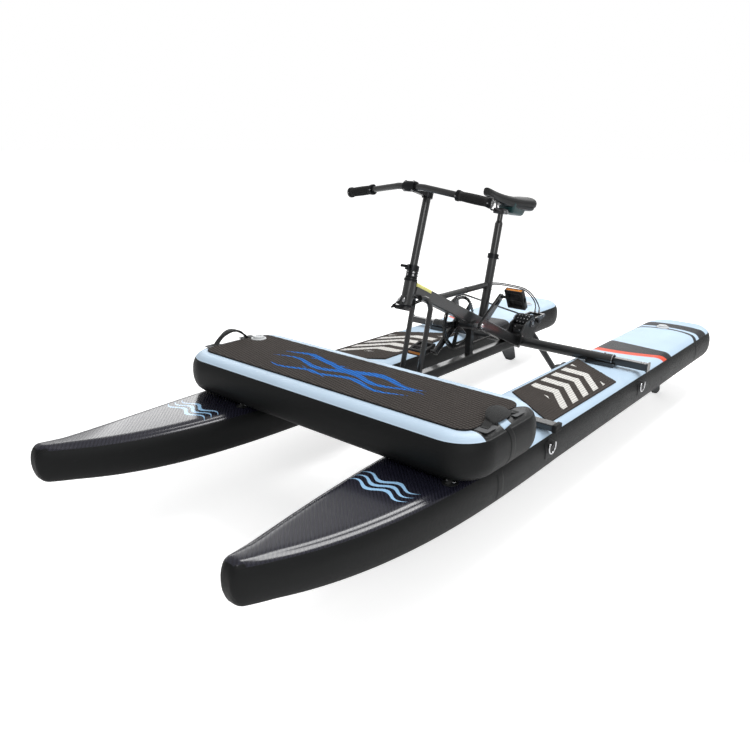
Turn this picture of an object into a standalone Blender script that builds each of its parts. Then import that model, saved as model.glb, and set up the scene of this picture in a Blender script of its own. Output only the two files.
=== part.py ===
"""Pedal-driven water bike: two inflatable hulls, a bench across the bows and a bicycle frame with a propeller leg.

Metres, +Z up, bow towards -Y, port side towards +X. The origin is on the floor under the middle of the
object, where the fin tips stand. Lengths along a tilted tube are measured from its lower end.
"""
import math

import bmesh
import bpy
from mathutils import Matrix, Vector

# Fits between pieces
GAP = 0.0003             # between two faces that touch
TURNING_GAP = 0.0005     # around a shaft or a tube that turns or slides
CUTTER_MARGIN = 0.1      # by which a cutter reaches past what it cuts
CUTTER_HEIGHT = 0.3

# Inflatable hulls
HULL_LENGTH = 3.07
HULL_WIDTH = 0.340
HULL_THICKNESS = 0.140
HULL_SPACING = 0.843     # between the two centrelines
RAIL_DEPTH = 0.055       # how far the rounded side reaches in from the widest line
RAIL_POWER = 2.4
END_DEPTH = 0.034        # the stretch at each end over which the thickness rounds off
BOW_LENGTH = 1.28        # the stretch over which the hull narrows
BOW_POWER = 3.2
BOW_SPLAY = 0.014        # how far the bow tips stand outwards
BOW_SPLAY_POWER = 0.8
NOSE_WIDTH = 0.060
NOSE_LENGTH = 0.050
BOW_RISE = 0.0435         # of the deck at the tip
BOW_RISE_POWER = 5.5
KEEL_RISE = 0.067        # of the bottom at the tip
KEEL_RISE_POWER = 4.8
STERN_LENGTH = 0.170     # the stretch over which the stern rounds off
STERN_POWER = 2.6

# Fins
FIN_DEPTH = 0.188
FIN_CHORD = 0.150
FIN_TIP_CHORD = 0.085
FIN_SWEEP = 0.125        # how far the tip trails behind the root
FIN_ROOT_Y = 1.068       # front of the root
FIN_THICKNESS = 0.009
FIN_FOOT_WIDTH = 0.026
FIN_FOOT_HEIGHT = 0.012

# Traction pads on the decks
PAD_THICKNESS = 0.005
PAD_WIDTH = 0.244
PAD_INNER_X = 0.305
PAD_FRONT_Y = -0.076     # inner front corner
PAD_REAR_Y = 0.475       # inner rear corner
PAD_SLANT = 0.185        # how far the outer corners lie ahead of the inner ones

# Bench across the bows
BENCH_LENGTH = 1.269
BENCH_DEPTH = 0.438
BENCH_THICKNESS = 0.140
BENCH_Y = -0.6715
BENCH_CORNER = 0.125
BENCH_RISER = 0.005      # rubber pads under it
RISER_LENGTH = 0.200
RISER_Y = -0.640
RISER_DEPTH = 0.180
BENCH_PAD_LENGTH = BENCH_LENGTH - 0.125
BENCH_PAD_DEPTH = 0.300
BENCH_PAD_Y = -0.677
BENCH_PAD_CORNER = 0.045
BENCH_EDGE_STEPS = 5

# Valves
VALVE_RADIUS = 0.030
VALVE_HEIGHT = 0.007
VALVE_CAP_RADIUS = 0.019
VALVE_CAP_HEIGHT = 0.007
HULL_VALVE_INSET = 0.035  # inwards from the hull's centreline
HULL_VALVE_Y = 1.300
BENCH_VALVE_X = 0.0965 - BENCH_LENGTH / 2
BENCH_VALVE_Y = -0.588

# Carrying handles on the bench
HANDLE_X = BENCH_LENGTH / 2 - 0.0475
HANDLE_FRONT_Y = -0.767
HANDLE_REAR_Y = -0.595
HANDLE_RISE = 0.042
HANDLE_THICKNESS = 0.006
HANDLE_WIDTH = 0.025

# D-rings on the hull sides
RING_WIRE = 0.0028
RING_WIDTH = 0.044
RING_DROP = 0.034
RING_STAND_OFF = 0.008
RING_PATCH_THICKNESS = 0.002
RING_PATCH_WIDTH = 0.062
RING_PATCH_TOP = 0.130    # above the hull's bottom
RING_PATCH_BOTTOM = 0.060
RING_TAB_WIDTH = 0.022
RING_TAB_HEIGHT = 0.010
RING_HEIGHT = 0.108       # of the ring's straight bar, above the hull's bottom
RING_PATCH_LIFT = 0.0006  # keeps the flat-sided patch off the rounded shoulder
FRONT_RING_Y = -0.352
REAR_RING_Y = 0.450

# Crossbars
FRONT_BAR_Y = -0.330
FRONT_BAR_DEPTH = 0.040
FRONT_BAR_HEIGHT = 0.022
FRONT_BAR_LENGTH = 1.210
BAR_FOOT_LENGTH = 0.110
BAR_CAP = 0.008
BAR_CAP_LIP = 0.0015
CROSSBAR_PAD = 0.005     # feet between the front bar and the decks
REAR_BAR_Y = 0.4856
REAR_BAR_RISE = 0.0264    # of its axis above the decks
REAR_BAR_RADIUS = 0.0222
REAR_BAR_WALL = 0.0016
REAR_BAR_HALF = 0.457     # to the end of the collar
COLLAR_LENGTH = 0.030
COLLAR_RADIUS = 0.0238
REAR_FOOT_X = 0.405
REAR_FOOT_LENGTH = 0.120
REAR_FOOT_DEPTH = 0.058
REAR_FOOT_HEIGHT = 0.017
BAR_END_SIZE = 0.0300     # square tube that slides in the round one
BAR_END_BEVEL = 0.003
BAR_END_X = 0.597
BAR_END_GRIP = 0.090

# Bicycle frame
HEAD_BASE_Y = -0.3635
HEAD_BASE_Z = 0.650
HEAD_TILT = math.radians(16.0)
HEAD_LENGTH = 0.103
HEAD_RADIUS = 0.0215
HEAD_CUP = 0.010
HEAD_CUP_LIP = 0.002
BEAM_WIDTH = 0.038
BEAM_HEIGHT = 0.046
BEAM_SLOPE = math.radians(24.3)
BEAM_FRONT_Y = -0.335
TOP_TUBE_RADIUS = 0.0120
TOP_TUBE_Z = 0.654
TOP_TUBE_FRONT_Y = -0.150
SEAT_TUBE_TILT = math.radians(12.2)
SEAT_TUBE_FOOT_Y = 0.150
SEAT_TUBE_TOP_Z = 0.778
SEAT_TUBE_RADIUS = 0.0175
SEAT_TUBE_WALL = 0.0016
LEG_RADIUS = 0.010
LEG_SPREAD = 0.040
LEG_TOP_Y = -0.264
LEG_BEND_Z = 0.660
KEEL_WIDTH = 0.036
KEEL_HEIGHT = 0.040
KEEL_Z = 0.358
STRUT_Y = 0.080
STRUT_DEPTH = 0.024
STRUT_WIDTH = 0.024
STRUT_TOP_SHARE = 0.68    # of the bearing shell's radius, below its axis

# Steering
STEERER_RADIUS = 0.0170
STEERER_WALL = 0.0025
STEERER_TOP = 0.152
STEERER_FLANGE = 0.012
STEERER_FLANGE_RADIUS = 0.021
TILLER_REACH = 0.024
TILLER_THICKNESS = 0.006
TILLER_DEPTH = 0.020
COLUMN_RADIUS = 0.0140
COLUMN_INSERT = 0.085     # of the column inside the steerer
COLUMN_TOP = 0.420
STEM_LENGTH = 0.105
STEM_HEIGHT = 0.030
STEM_WALL = 0.0055
STEM_WIDTH = 0.024
STEM_CLAMP_LENGTH = 0.050
BAR_RADIUS = 0.0111
BAR_HALF = 0.297
BAR_STRAIGHT = 0.045      # half of the straight middle
BAR_BACK = 0.032
BAR_DROP = 0.037
GRIP_LENGTH = 0.126
GRIP_RADIUS = 0.0160
GRIP_RING_RADIUS = 0.0185
GRIP_RING_LENGTH = 0.010
GRIP_END = 0.004

# Quick-release collars and their levers
CLAMP_HEIGHT = 0.020
CLAMP_WALL = 0.005
CLAMP_EAR = 0.016
EAR_THICKNESS = 0.006
PIN_RADIUS = 0.0028
LEVER_EYE_RADIUS = 0.0068
LEVER_LENGTH = 0.027
LEVER_THICKNESS = 0.006
LEVER_HEIGHT = 0.010

# Saddle
POST_INSERT = 0.130       # of the seatpost inside the seat tube
POST_TOP_Z = 0.935
POST_NECK_RADIUS = 0.0110  # where the post is drawn in for the saddle clamp
POST_NECK_LENGTH = 0.026
POST_TAPER_LENGTH = 0.012
SADDLE_NOSE_Y = 0.141
SADDLE_LENGTH = 0.300
SADDLE_NOSE_Z = POST_TOP_Z + 0.111
SADDLE_FALL = 0.050       # of the top from nose to tail
SADDLE_WIDTH = 0.168
SADDLE_NOSE_WIDTH = 0.042
SADDLE_DEPTH = 0.054
SADDLE_DIP = 0.013        # of the top between its two ends
RAIL_RADIUS = 0.0036
RAIL_SPREAD = 0.017
RAIL_LENGTH = 0.130
RAIL_BEND = 0.018
RAIL_FRONT_RISE = 0.0361   # to the saddle's underside
RAIL_REAR_RISE = 0.0230
RAIL_CLAMP_LENGTH = 0.040
RAIL_CLAMP_HEIGHT = 0.022
RAIL_CLAMP_LIFT = 0.0006  # over the post's top, which leans more than the clamp does

# Cranks, pedals and chain
CRANK_Y = 0.066
CRANK_Z = 0.509
CRANK_ANGLE = math.radians(35.0)
CRANK_LENGTH = 0.175
CRANK_WIDTH = 0.026
CRANK_THICKNESS = 0.013
CRANK_X = 0.052           # inner face of each crank
SPIDER_RADIUS = 0.026
SHELL_RADIUS = 0.021
SHELL_HALF = 0.034
SPINDLE_RADIUS = 0.0085
CHAIN_X = -0.046
CHAIN_PITCH = 0.0127
CHAIN_WIDTH = 0.007
CHAIN_HEIGHT = 0.007
CHAIN_LIFT = 0.0008       # of the chain's inner side above the pitch circle
CHAINRING_TEETH = 54
CHAINRING_THICKNESS = 0.003
CHAINRING_RIM = 0.014
CHAINRING_HUB = 0.030
CHAINRING_ARMS = 5
CHAINRING_ARM_ANGLE = math.radians(17.0)
SPROCKET_TEETH = 14
TOOTH_HEIGHT = 0.004
PEDAL_INNER = 0.087
PEDAL_WIDTH = 0.082
PEDAL_LENGTH = 0.090
PEDAL_HEIGHT = 0.026
PEDAL_AXLE_RADIUS = 0.006
PORT_PEDAL_TILT = math.radians(-62.0)
STARBOARD_PEDAL_TILT = math.radians(12.0)

# Propeller drive
DRIVE_Y = 0.548
DRIVE_Z = 0.430
DRIVE_SHAFT_RADIUS = 0.008
BRACKET_X = 0.033         # inner face of each side plate
BRACKET_THICKNESS = 0.006
BRACKET_TOP = 0.026        # of the plates above the drive shaft
BRACKET_FRONT = 0.034      # of the plates ahead of the rear bar's axis
BRACKET_REAR = 0.038       # of the plates' feet behind the drive shaft
BRACKET_ARM = 0.016        # height of the arms that carry the cable stops
BRIDGE_THICKNESS = 0.010
CABLE_STOP_Y = 0.664
CABLE_STOP_Z = 0.452
CABLE_STOP_SIZE = 0.014
GEARBOX_RADIUS = 0.036
GEARBOX_NECK_RADIUS = 0.023
GEARBOX_NECK_END = 0.056
LEG_TILT = math.radians(49.0)
DRIVE_LEG_RADIUS = 0.0145
DRIVE_LEG_START = 0.0565
PROPELLER_DEPTH = 0.575   # from the pivot to the propeller's axis
LEG_COLLAR_LENGTH = 0.022
LEG_COLLAR_WALL = 0.006
LEG_ARM_REACH = 0.030
LEG_ARM_THICKNESS = 0.008
LEG_ARM_WIDTH = 0.020
FOOT_RADIUS = 0.028
FOOT_LENGTH = 0.100
PROP_RADIUS = 0.115
PROP_REST_TURN = math.radians(-45.0)
PROP_HUB_RADIUS = 0.021
PROP_HUB_LENGTH = 0.040
PROP_SHAFT_RADIUS = 0.006
PROP_SHAFT_LENGTH = 0.030
BLADE_COUNT = 2
BLADE_CHORD = 0.050
BLADE_THICKNESS = 0.005
BLADE_PITCH = 0.160

# Steering cables
CABLE_RADIUS = 0.0027
CABLE_SPACING = 0.0062
CABLE_STOP_X = 0.0105
CABLE_CROSSING_X = -0.020  # where they pass from the beam to the seat tube
CABLE_STEP = 0.025
CABLE_ROUTE = (           # y and z of the points that both pass, from the head to where they turn down
    (-0.325, 0.638), (-0.285, 0.643), (-0.220, 0.648), (-0.130, 0.646), (0.000, 0.643), (0.120, 0.645),
    (0.205, 0.645), (0.300, 0.636), (0.410, 0.613), (0.520, 0.582), (0.605, 0.536),
)

# Places that follow from the sizes above
BOW_TIP = -HULL_LENGTH / 2
STERN = HULL_LENGTH / 2
HULL_X = HULL_SPACING / 2
HULL_BOTTOM = FIN_DEPTH
DECK = HULL_BOTTOM + HULL_THICKNESS
BENCH_BOTTOM = DECK + BENCH_RISER
BENCH_TOP = BENCH_BOTTOM + BENCH_THICKNESS
FRONT_BAR_TOP = DECK + CROSSBAR_PAD + FRONT_BAR_HEIGHT
REAR_BAR_Z = DECK + REAR_BAR_RISE
HEAD_BASE = Vector((0, HEAD_BASE_Y, HEAD_BASE_Z))
HEAD_AXIS = Vector((0, math.sin(HEAD_TILT), math.cos(HEAD_TILT)))
HEAD_FORWARD = Vector((0, -math.cos(HEAD_TILT), math.sin(HEAD_TILT)))
BEAM_RUN = Vector((0, math.cos(BEAM_SLOPE), -math.sin(BEAM_SLOPE)))
BEAM_UP = Vector((0, math.sin(BEAM_SLOPE), math.cos(BEAM_SLOPE)))
BEAM_AT_CRANK = Vector((0, CRANK_Y, CRANK_Z)) + BEAM_UP * (BEAM_HEIGHT / 2)
SEAT_AXIS = Vector((0, math.sin(SEAT_TUBE_TILT), math.cos(SEAT_TUBE_TILT)))
CRANK_CENTRE = Vector((0, CRANK_Y, CRANK_Z))
DRIVE_CENTRE = Vector((0, DRIVE_Y, DRIVE_Z))
LEG_RUN = Vector((0, math.sin(LEG_TILT), -math.cos(LEG_TILT)))
PROP_RUN = Vector((0, math.cos(LEG_TILT), math.sin(LEG_TILT)))
CHAINRING_RADIUS = CHAIN_PITCH / 2 / math.sin(math.pi / CHAINRING_TEETH)
SPROCKET_RADIUS = CHAIN_PITCH / 2 / math.sin(math.pi / SPROCKET_TEETH)
STARBOARD = -1
PORT = 1
SIDES = (("port", PORT), ("starboard", STARBOARD))

COLOURS = {
    "rail_black": ((0.030, 0.032, 0.035), 0.45, 0.0),
    "deck_blue": ((0.55, 0.68, 0.80), 0.40, 0.0),
    "pad_brown": ((0.060, 0.052, 0.048), 0.90, 0.0),
    "webbing": ((0.020, 0.020, 0.020), 0.80, 0.0),
    "valve_white": ((0.80, 0.82, 0.84), 0.35, 0.0),
    "fin_black": ((0.030, 0.035, 0.040), 0.35, 0.0),
    "frame_black": ((0.015, 0.016, 0.017), 0.30, 0.2),
    "chrome": ((0.75, 0.76, 0.78), 0.15, 1.0),
    "rubber": ((0.020, 0.020, 0.021), 0.75, 0.0),
    "steel": ((0.35, 0.36, 0.37), 0.35, 1.0),
    "plastic": ((0.025, 0.025, 0.027), 0.40, 0.0),
    "alloy_black": ((0.020, 0.021, 0.023), 0.35, 0.6),
}


def clear_scene():
    for item in list(bpy.data.objects):
        bpy.data.objects.remove(item, do_unlink=True)


def new_collection(name):
    made = bpy.data.collections.new(name)
    bpy.context.scene.collection.children.link(made)
    return made


def finish_material(key):
    """One Principled material for each finish, made when it is first asked for."""
    found = bpy.data.materials.get(key)
    if found:
        return found
    colour, roughness, metallic = COLOURS[key]
    made = bpy.data.materials.new(key)
    made.use_nodes = True
    shader = made.node_tree.nodes["Principled BSDF"]
    shader.inputs["Base Color"].default_value = (*colour, 1.0)
    shader.inputs["Roughness"].default_value = roughness
    shader.inputs["Metallic"].default_value = metallic
    return made


def new_part(name, data, finish, origin=(0, 0, 0)):
    """Puts mesh or curve data made in world space into the scene, with the object's origin at the given point."""
    data.transform(Matrix.Translation(-Vector(origin)))
    item = bpy.data.objects.new(name, data)
    item.location = origin
    data.materials.append(finish_material(finish))
    PARTS.objects.link(item)
    return item


def new_tool(name, data):
    """A cutter or a shape that a Boolean joins to a part. The build leaves it out."""
    item = bpy.data.objects.new(name, data)
    item.hide_render = True
    item.display_type = "WIRE"
    TOOLS.objects.link(item)
    return item


def combine(part, tool_data, operation="DIFFERENCE"):
    tool = new_tool(f"{part.name}_{operation.lower()}_{len(part.modifiers)}", tool_data)
    change = part.modifiers.new(tool.name, "BOOLEAN")
    change.operation = operation
    change.object = tool
    return part


def mesh_from(shape, name="shape"):
    data = bpy.data.meshes.new(name)
    bmesh.ops.recalc_face_normals(shape, faces=shape.faces)
    shape.to_mesh(data)
    shape.free()
    return data


def smooth(part, degrees=35.0):
    part.data.shade_smooth()
    part.data.set_sharp_from_angle(angle=math.radians(degrees))
    return part


def axis_matrix(point, direction, roll=0.0):
    """A frame at the point whose Z runs along the direction."""
    turn = Vector(direction).to_track_quat("Z", "Y").to_matrix().to_4x4()
    return Matrix.Translation(point) @ turn @ Matrix.Rotation(roll, 4, "Z")


def box_data(size, centre, tilt=0.0, bevel=0.0, segments=2):
    """A box turned about X by the tilt, with its edges bevelled."""
    shape = bmesh.new()
    bmesh.ops.create_cube(shape, size=1.0)
    bmesh.ops.scale(shape, vec=size, verts=shape.verts)
    if bevel:
        bmesh.ops.bevel(shape, geom=shape.edges[:], offset=bevel, segments=segments, affect="EDGES", profile=0.5)
    matrix = Matrix.Translation(centre) @ Matrix.Rotation(tilt, 4, "X")
    bmesh.ops.transform(shape, matrix=matrix, verts=shape.verts)
    return mesh_from(shape)


def cylinder_data(start, end, radius, segments=24, end_radius=None):
    start, end = Vector(start), Vector(end)
    shape = bmesh.new()
    bmesh.ops.create_cone(
        shape, cap_ends=True, segments=segments, radius1=radius,
        radius2=radius if end_radius is None else end_radius, depth=(end - start).length,
    )
    matrix = axis_matrix((start + end) / 2, end - start)
    bmesh.ops.transform(shape, matrix=matrix, verts=shape.verts)
    return mesh_from(shape)


def turned_part(name, profile, finish, point, direction, steps=24, closed=False):
    """A Screw of a profile of (radius, height) pairs about the line through the point."""
    data = bpy.data.meshes.new(name)
    count = len(profile)
    edges = [(i, i + 1) for i in range(count - 1)]
    if closed:
        edges.append((count - 1, 0))
    data.from_pydata([(radius, 0, height) for radius, height in profile], edges, [])
    data.materials.append(finish_material(finish))
    item = bpy.data.objects.new(name, data)
    item.matrix_world = axis_matrix(point, direction)
    PARTS.objects.link(item)
    screw = item.modifiers.new("turn", "SCREW")
    screw.axis = "Z"
    screw.steps = steps
    screw.render_steps = steps
    screw.use_merge_vertices = True
    screw.merge_threshold = 1e-5
    screw.use_smooth_shade = True
    return item


def sleeve(name, inner, outer, start, end, finish, point, direction, steps=24):
    profile = [(outer, end), (outer, start), (inner, start), (inner, end)]
    return turned_part(name, profile, finish, point, direction, steps, closed=True)


def curve_data(points, radius, resolution=3, cyclic=False):
    """A round tube along the points."""
    data = bpy.data.curves.new("tube", "CURVE")
    data.dimensions = "3D"
    data.bevel_depth = radius
    data.bevel_resolution = resolution
    data.use_fill_caps = not cyclic
    spline = data.splines.new("POLY")
    spline.points.add(len(points) - 1)
    spline.use_cyclic_u = cyclic
    for target, point in zip(spline.points, points):
        target.co = (*point, 1.0)
    return data


def outline_data(outlines, thickness, matrix, bevel=0.0):
    """A flat plate from closed outlines of (x, y) pairs. The first is the rim and the others are holes."""
    data = bpy.data.curves.new("outline", "CURVE")
    data.dimensions = "2D"
    data.fill_mode = "BOTH"
    data.extrude = thickness / 2 - bevel
    data.bevel_depth = bevel
    data.bevel_resolution = 1
    data.offset = -bevel
    for outline in outlines:
        spline = data.splines.new("POLY")
        spline.points.add(len(outline) - 1)
        spline.use_cyclic_u = True
        for target, (across, along) in zip(spline.points, outline):
            target.co = (across, along, 0.0, 1.0)
    return solid_mesh(data, matrix)


def solid_mesh(curve, matrix=None):
    """The welded mesh of a curve, which a Boolean can use."""
    helper = bpy.data.objects.new("helper", curve)
    bpy.context.scene.collection.objects.link(helper)
    graph = bpy.context.evaluated_depsgraph_get()
    data = bpy.data.meshes.new_from_object(helper.evaluated_get(graph))
    bpy.data.objects.remove(helper, do_unlink=True)
    bpy.data.curves.remove(curve)
    shape = bmesh.new()
    shape.from_mesh(data)
    bmesh.ops.remove_doubles(shape, verts=shape.verts, dist=1e-6)
    bpy.data.meshes.remove(data)
    if matrix:
        bmesh.ops.transform(shape, matrix=matrix, verts=shape.verts)
    return mesh_from(shape)


def arc(centre, radius, start, end, steps):
    """Points on a circle, angles in radians, both ends included."""
    return [
        (
            centre[0] + radius * math.cos(start + (end - start) * i / steps),
            centre[1] + radius * math.sin(start + (end - start) * i / steps),
        )
        for i in range(steps + 1)
    ]


def loft_data(rings):
    """A closed skin through rings that have the same number of points."""
    shape = bmesh.new()
    rows = [[shape.verts.new(point) for point in ring] for ring in rings]
    for near, far in zip(rows, rows[1:]):
        for i in range(len(near)):
            j = (i + 1) % len(near)
            shape.faces.new((near[i], near[j], far[j], far[i]))
    shape.faces.new(rows[0])
    shape.faces.new(rows[-1])
    return mesh_from(shape)


# Hulls

def hull_taper(y):
    """0 from the end of the bow aft, 1 at the bow tip."""
    return max(0.0, 1 - (y - BOW_TIP) / BOW_LENGTH)


def hull_half_width(y):
    taper = hull_taper(y)
    half = NOSE_WIDTH / 2 + (HULL_WIDTH - NOSE_WIDTH) / 2 * (1 - taper ** BOW_POWER)
    nose = 1 - (y - BOW_TIP) / NOSE_LENGTH
    if nose > 0:
        half -= NOSE_WIDTH * 0.3 * (1 - math.sqrt(1 - nose * nose))
    stern = 1 - (STERN - y) / STERN_LENGTH
    if stern > 0:
        half *= (1 - stern ** STERN_POWER) ** (1 / STERN_POWER)
    return half


def hull_centre(side, y):
    return side * (HULL_X + BOW_SPLAY * hull_taper(y) ** BOW_SPLAY_POWER)


def hull_section(side, y):
    """Points round the hull at this station, from the top centre round by the outer side."""
    taper = hull_taper(y)
    top = DECK + BOW_RISE * taper ** BOW_RISE_POWER
    bottom = HULL_BOTTOM + KEEL_RISE * taper ** KEEL_RISE_POWER
    half = hull_half_width(y)
    rail = min(RAIL_DEPTH, 0.85 * half)
    end = min(y - BOW_TIP, STERN - y) / END_DEPTH
    cap = (1 - (1 - end) ** RAIL_POWER) ** (1 / RAIL_POWER) if end < 1 else 1.0
    middle, rise = (top + bottom) / 2, (top - bottom) / 2 * cap
    centre = hull_centre(side, y)
    power = 2 / RAIL_POWER
    ring = []
    for way in (1, -1):
        for step in range(9):
            angle = math.pi * (0.5 - step / 8)
            across = half - rail + rail * abs(math.cos(angle)) ** power
            height = rise * math.copysign(abs(math.sin(angle)) ** power, way * math.sin(angle))
            ring.append((centre + way * across, y, middle + height))
    return ring


def hull_stations():
    ends = [END_DEPTH * (1 - math.cos(math.pi / 2 * i / 6)) + 0.0008 for i in range(6)]
    bow = [BOW_TIP + e for e in ends]
    taper = [BOW_TIP + END_DEPTH + (BOW_LENGTH - END_DEPTH) * (i / 13) ** 1.3 for i in range(14)]
    middle = [STERN - STERN_LENGTH - 0.4, STERN - STERN_LENGTH]
    stern = [STERN - END_DEPTH - (STERN_LENGTH - END_DEPTH) * (1 - i / 5) for i in range(1, 6)]
    return bow + taper + middle + stern + [STERN - e for e in reversed(ends)]


def make_hulls():
    for label, side in SIDES:
        rings = [hull_section(side, y) for y in hull_stations()]
        smooth(new_part(f"{label}_hull", loft_data(rings), "rail_black"))


def make_fins():
    root = HULL_BOTTOM - GAP - FIN_FOOT_HEIGHT
    for label, side in SIDES:
        x = side * HULL_X
        front = [(FIN_ROOT_Y + FIN_SWEEP * t ** 1.5, root * (1 - t)) for t in (0, 0.25, 0.5, 0.75, 0.9)]
        tip_y = FIN_ROOT_Y + FIN_SWEEP * 1.05
        tip = [(tip_y + FIN_TIP_CHORD * t, root * 0.10 * (2 * t - 1) ** 4) for t in (0.15, 0.4, 0.65, 0.9)]
        tip_end_y = tip_y + FIN_TIP_CHORD
        rear = [
            (tip_end_y + (FIN_ROOT_Y + FIN_CHORD - tip_end_y) * t ** 0.8, root * t)
            for t in (0.2, 0.45, 0.7, 1.0)
        ]
        matrix = Matrix.Translation((x, 0, 0)) @ Matrix.Rotation(math.pi / 2, 4, "Y") @ Matrix.Rotation(
            math.pi / 2, 4, "Z"
        )
        blade = outline_data([front + tip + rear], FIN_THICKNESS, matrix, bevel=0.0015)
        fin = new_part(f"{label}_fin", blade, "fin_black")
        foot_centre = (x, FIN_ROOT_Y + FIN_CHORD / 2, root + FIN_FOOT_HEIGHT / 2 - 0.0005)
        foot_size = (FIN_FOOT_WIDTH, FIN_CHORD + 0.02, FIN_FOOT_HEIGHT + 0.001)
        combine(fin, box_data(foot_size, foot_centre, bevel=0.003), "UNION")


def make_deck_pads():
    for label, side in SIDES:
        inner, outer = side * PAD_INNER_X, side * (PAD_INNER_X + PAD_WIDTH)
        corners = [
            (inner, PAD_FRONT_Y), (outer, PAD_FRONT_Y - PAD_SLANT), (outer, PAD_REAR_Y - PAD_SLANT),
            (inner, PAD_REAR_Y),
        ]
        matrix = Matrix.Translation((0, 0, DECK + GAP + PAD_THICKNESS / 2))
        new_part(f"{label}_deck_pad", outline_data([corners], PAD_THICKNESS, matrix), "pad_brown")


def make_valve(name, x, y, z):
    height = VALVE_HEIGHT
    top = VALVE_HEIGHT + VALVE_CAP_HEIGHT
    profile = [
        (0, top), (VALVE_CAP_RADIUS * 0.9, top), (VALVE_CAP_RADIUS, top - 0.0015), (VALVE_CAP_RADIUS, height),
        (VALVE_RADIUS * 0.92, height), (VALVE_RADIUS, height - 0.002), (VALVE_RADIUS, 0), (0, 0),
    ]
    turned_part(name, profile, "valve_white", (x, y, z + GAP), (0, 0, 1))


def make_hull_valves():
    for label, side in SIDES:
        make_valve(f"{label}_hull_valve", side * (HULL_X - HULL_VALVE_INSET), HULL_VALVE_Y, DECK)


def side_depth(height):
    """How far inside the hull's widest line its surface lies, at a height above its bottom."""
    rise = abs(height / (HULL_THICKNESS / 2) - 1)
    return RAIL_DEPTH * (1 - (1 - rise ** RAIL_POWER) ** (1 / RAIL_POWER))


def ring_patch_outline(side, widest):
    """The hull's side profile between two heights, and the same profile stood off it by the patch's thickness."""
    inner, outer = [], []
    for step in range(7):
        height = RING_PATCH_BOTTOM + (RING_PATCH_TOP - RING_PATCH_BOTTOM) * step / 6
        x = widest + GAP - side_depth(height)
        lift = RING_PATCH_LIFT * (height > HULL_THICKNESS / 2)
        inner.append((side * x, HULL_BOTTOM + height + lift))
        outer.append((side * (x + RING_PATCH_THICKNESS), HULL_BOTTOM + height + lift + RING_PATCH_THICKNESS / 2))
    return inner + outer[::-1]


def make_d_ring(name, side, y):
    """A welded patch, the webbing tab that is sewn on it and the wire ring that the tab holds."""
    front = y - RING_PATCH_WIDTH / 2
    widest = abs(hull_centre(side, front)) + hull_half_width(front)
    upright = Matrix.Translation((0, y, 0)) @ Matrix.Rotation(math.pi / 2, 4, "X")
    patch = outline_data([ring_patch_outline(side, widest)], RING_PATCH_WIDTH, upright)
    part = new_part(name, patch, "chrome")
    ring_x = side * (widest + RING_STAND_OFF)
    top = HULL_BOTTOM + RING_HEIGHT
    half = RING_WIDTH / 2
    straight = [(y - half, top), (y + half, top)]
    bow = arc((y, top - RING_DROP + half), half, 0, -math.pi, 8)
    route = [(ring_x, py, pz) for py, pz in straight + bow]
    combine(part, solid_mesh(curve_data(route, RING_WIRE, 1, cyclic=True)), "UNION")
    tab_inner = widest - side_depth(RING_HEIGHT) + 2 * GAP
    tab_length = widest + RING_STAND_OFF + RING_TAB_HEIGHT / 2 - tab_inner
    tab_centre = (side * (tab_inner + tab_length / 2), y, top)
    combine(part, box_data((tab_length, RING_TAB_WIDTH, RING_TAB_HEIGHT), tab_centre, bevel=0.002, segments=1), "UNION")


def make_d_rings():
    for label, side in SIDES:
        make_d_ring(f"{label}_front_d_ring", side, FRONT_RING_Y)
        make_d_ring(f"{label}_rear_d_ring", side, REAR_RING_Y)


# Bench

def rounded_rectangle(length, depth, radius, centre_y, steps=6):
    points = []
    for index, (sx, sy) in enumerate(((1, 1), (-1, 1), (-1, -1), (1, -1))):
        corner = (sx * (length / 2 - radius), centre_y + sy * (depth / 2 - radius))
        points += arc(corner, radius, index * math.pi / 2, (index + 1) * math.pi / 2, steps)
    return points


def make_bench():
    """Outlines stacked from the bottom to the top, drawn in along the same side profile as the hulls."""
    rings = []
    half = BENCH_THICKNESS / 2
    power = 2 / RAIL_POWER
    for step in range(2 * BENCH_EDGE_STEPS + 1):
        angle = math.pi / 2 * (step / BENCH_EDGE_STEPS - 1)
        inset = RAIL_DEPTH * (1 - math.cos(angle) ** power) if abs(angle) < 1.57 else RAIL_DEPTH
        height = half * math.copysign(abs(math.sin(angle)) ** power, angle)
        outline = rounded_rectangle(
            BENCH_LENGTH - 2 * inset, BENCH_DEPTH - 2 * inset, BENCH_CORNER - inset, BENCH_Y
        )
        rings.append([(x, y, BENCH_BOTTOM + half + height) for x, y in outline])
    smooth(new_part("bench", loft_data(rings), "deck_blue"))


def make_bench_pad():
    outline = rounded_rectangle(BENCH_PAD_LENGTH, BENCH_PAD_DEPTH, BENCH_PAD_CORNER, BENCH_PAD_Y)
    matrix = Matrix.Translation((0, 0, BENCH_TOP + GAP + PAD_THICKNESS / 2))
    pad = new_part("bench_pad", outline_data([outline], PAD_THICKNESS, matrix), "pad_brown")
    start = (BENCH_VALVE_X, BENCH_VALVE_Y, BENCH_TOP - 0.01)
    end = (BENCH_VALVE_X, BENCH_VALVE_Y, BENCH_TOP + 0.02)
    combine(pad, cylinder_data(start, end, VALVE_RADIUS + 0.001))
    make_valve("bench_valve", BENCH_VALVE_X, BENCH_VALVE_Y, BENCH_TOP)


def make_bench_risers():
    for label, side in SIDES:
        centre = (side * HULL_X, RISER_Y, DECK + BENCH_RISER / 2)
        size = (RISER_LENGTH, RISER_DEPTH, BENCH_RISER - 2 * GAP)
        new_part(f"{label}_bench_riser", box_data(size, centre), "rubber")


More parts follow.
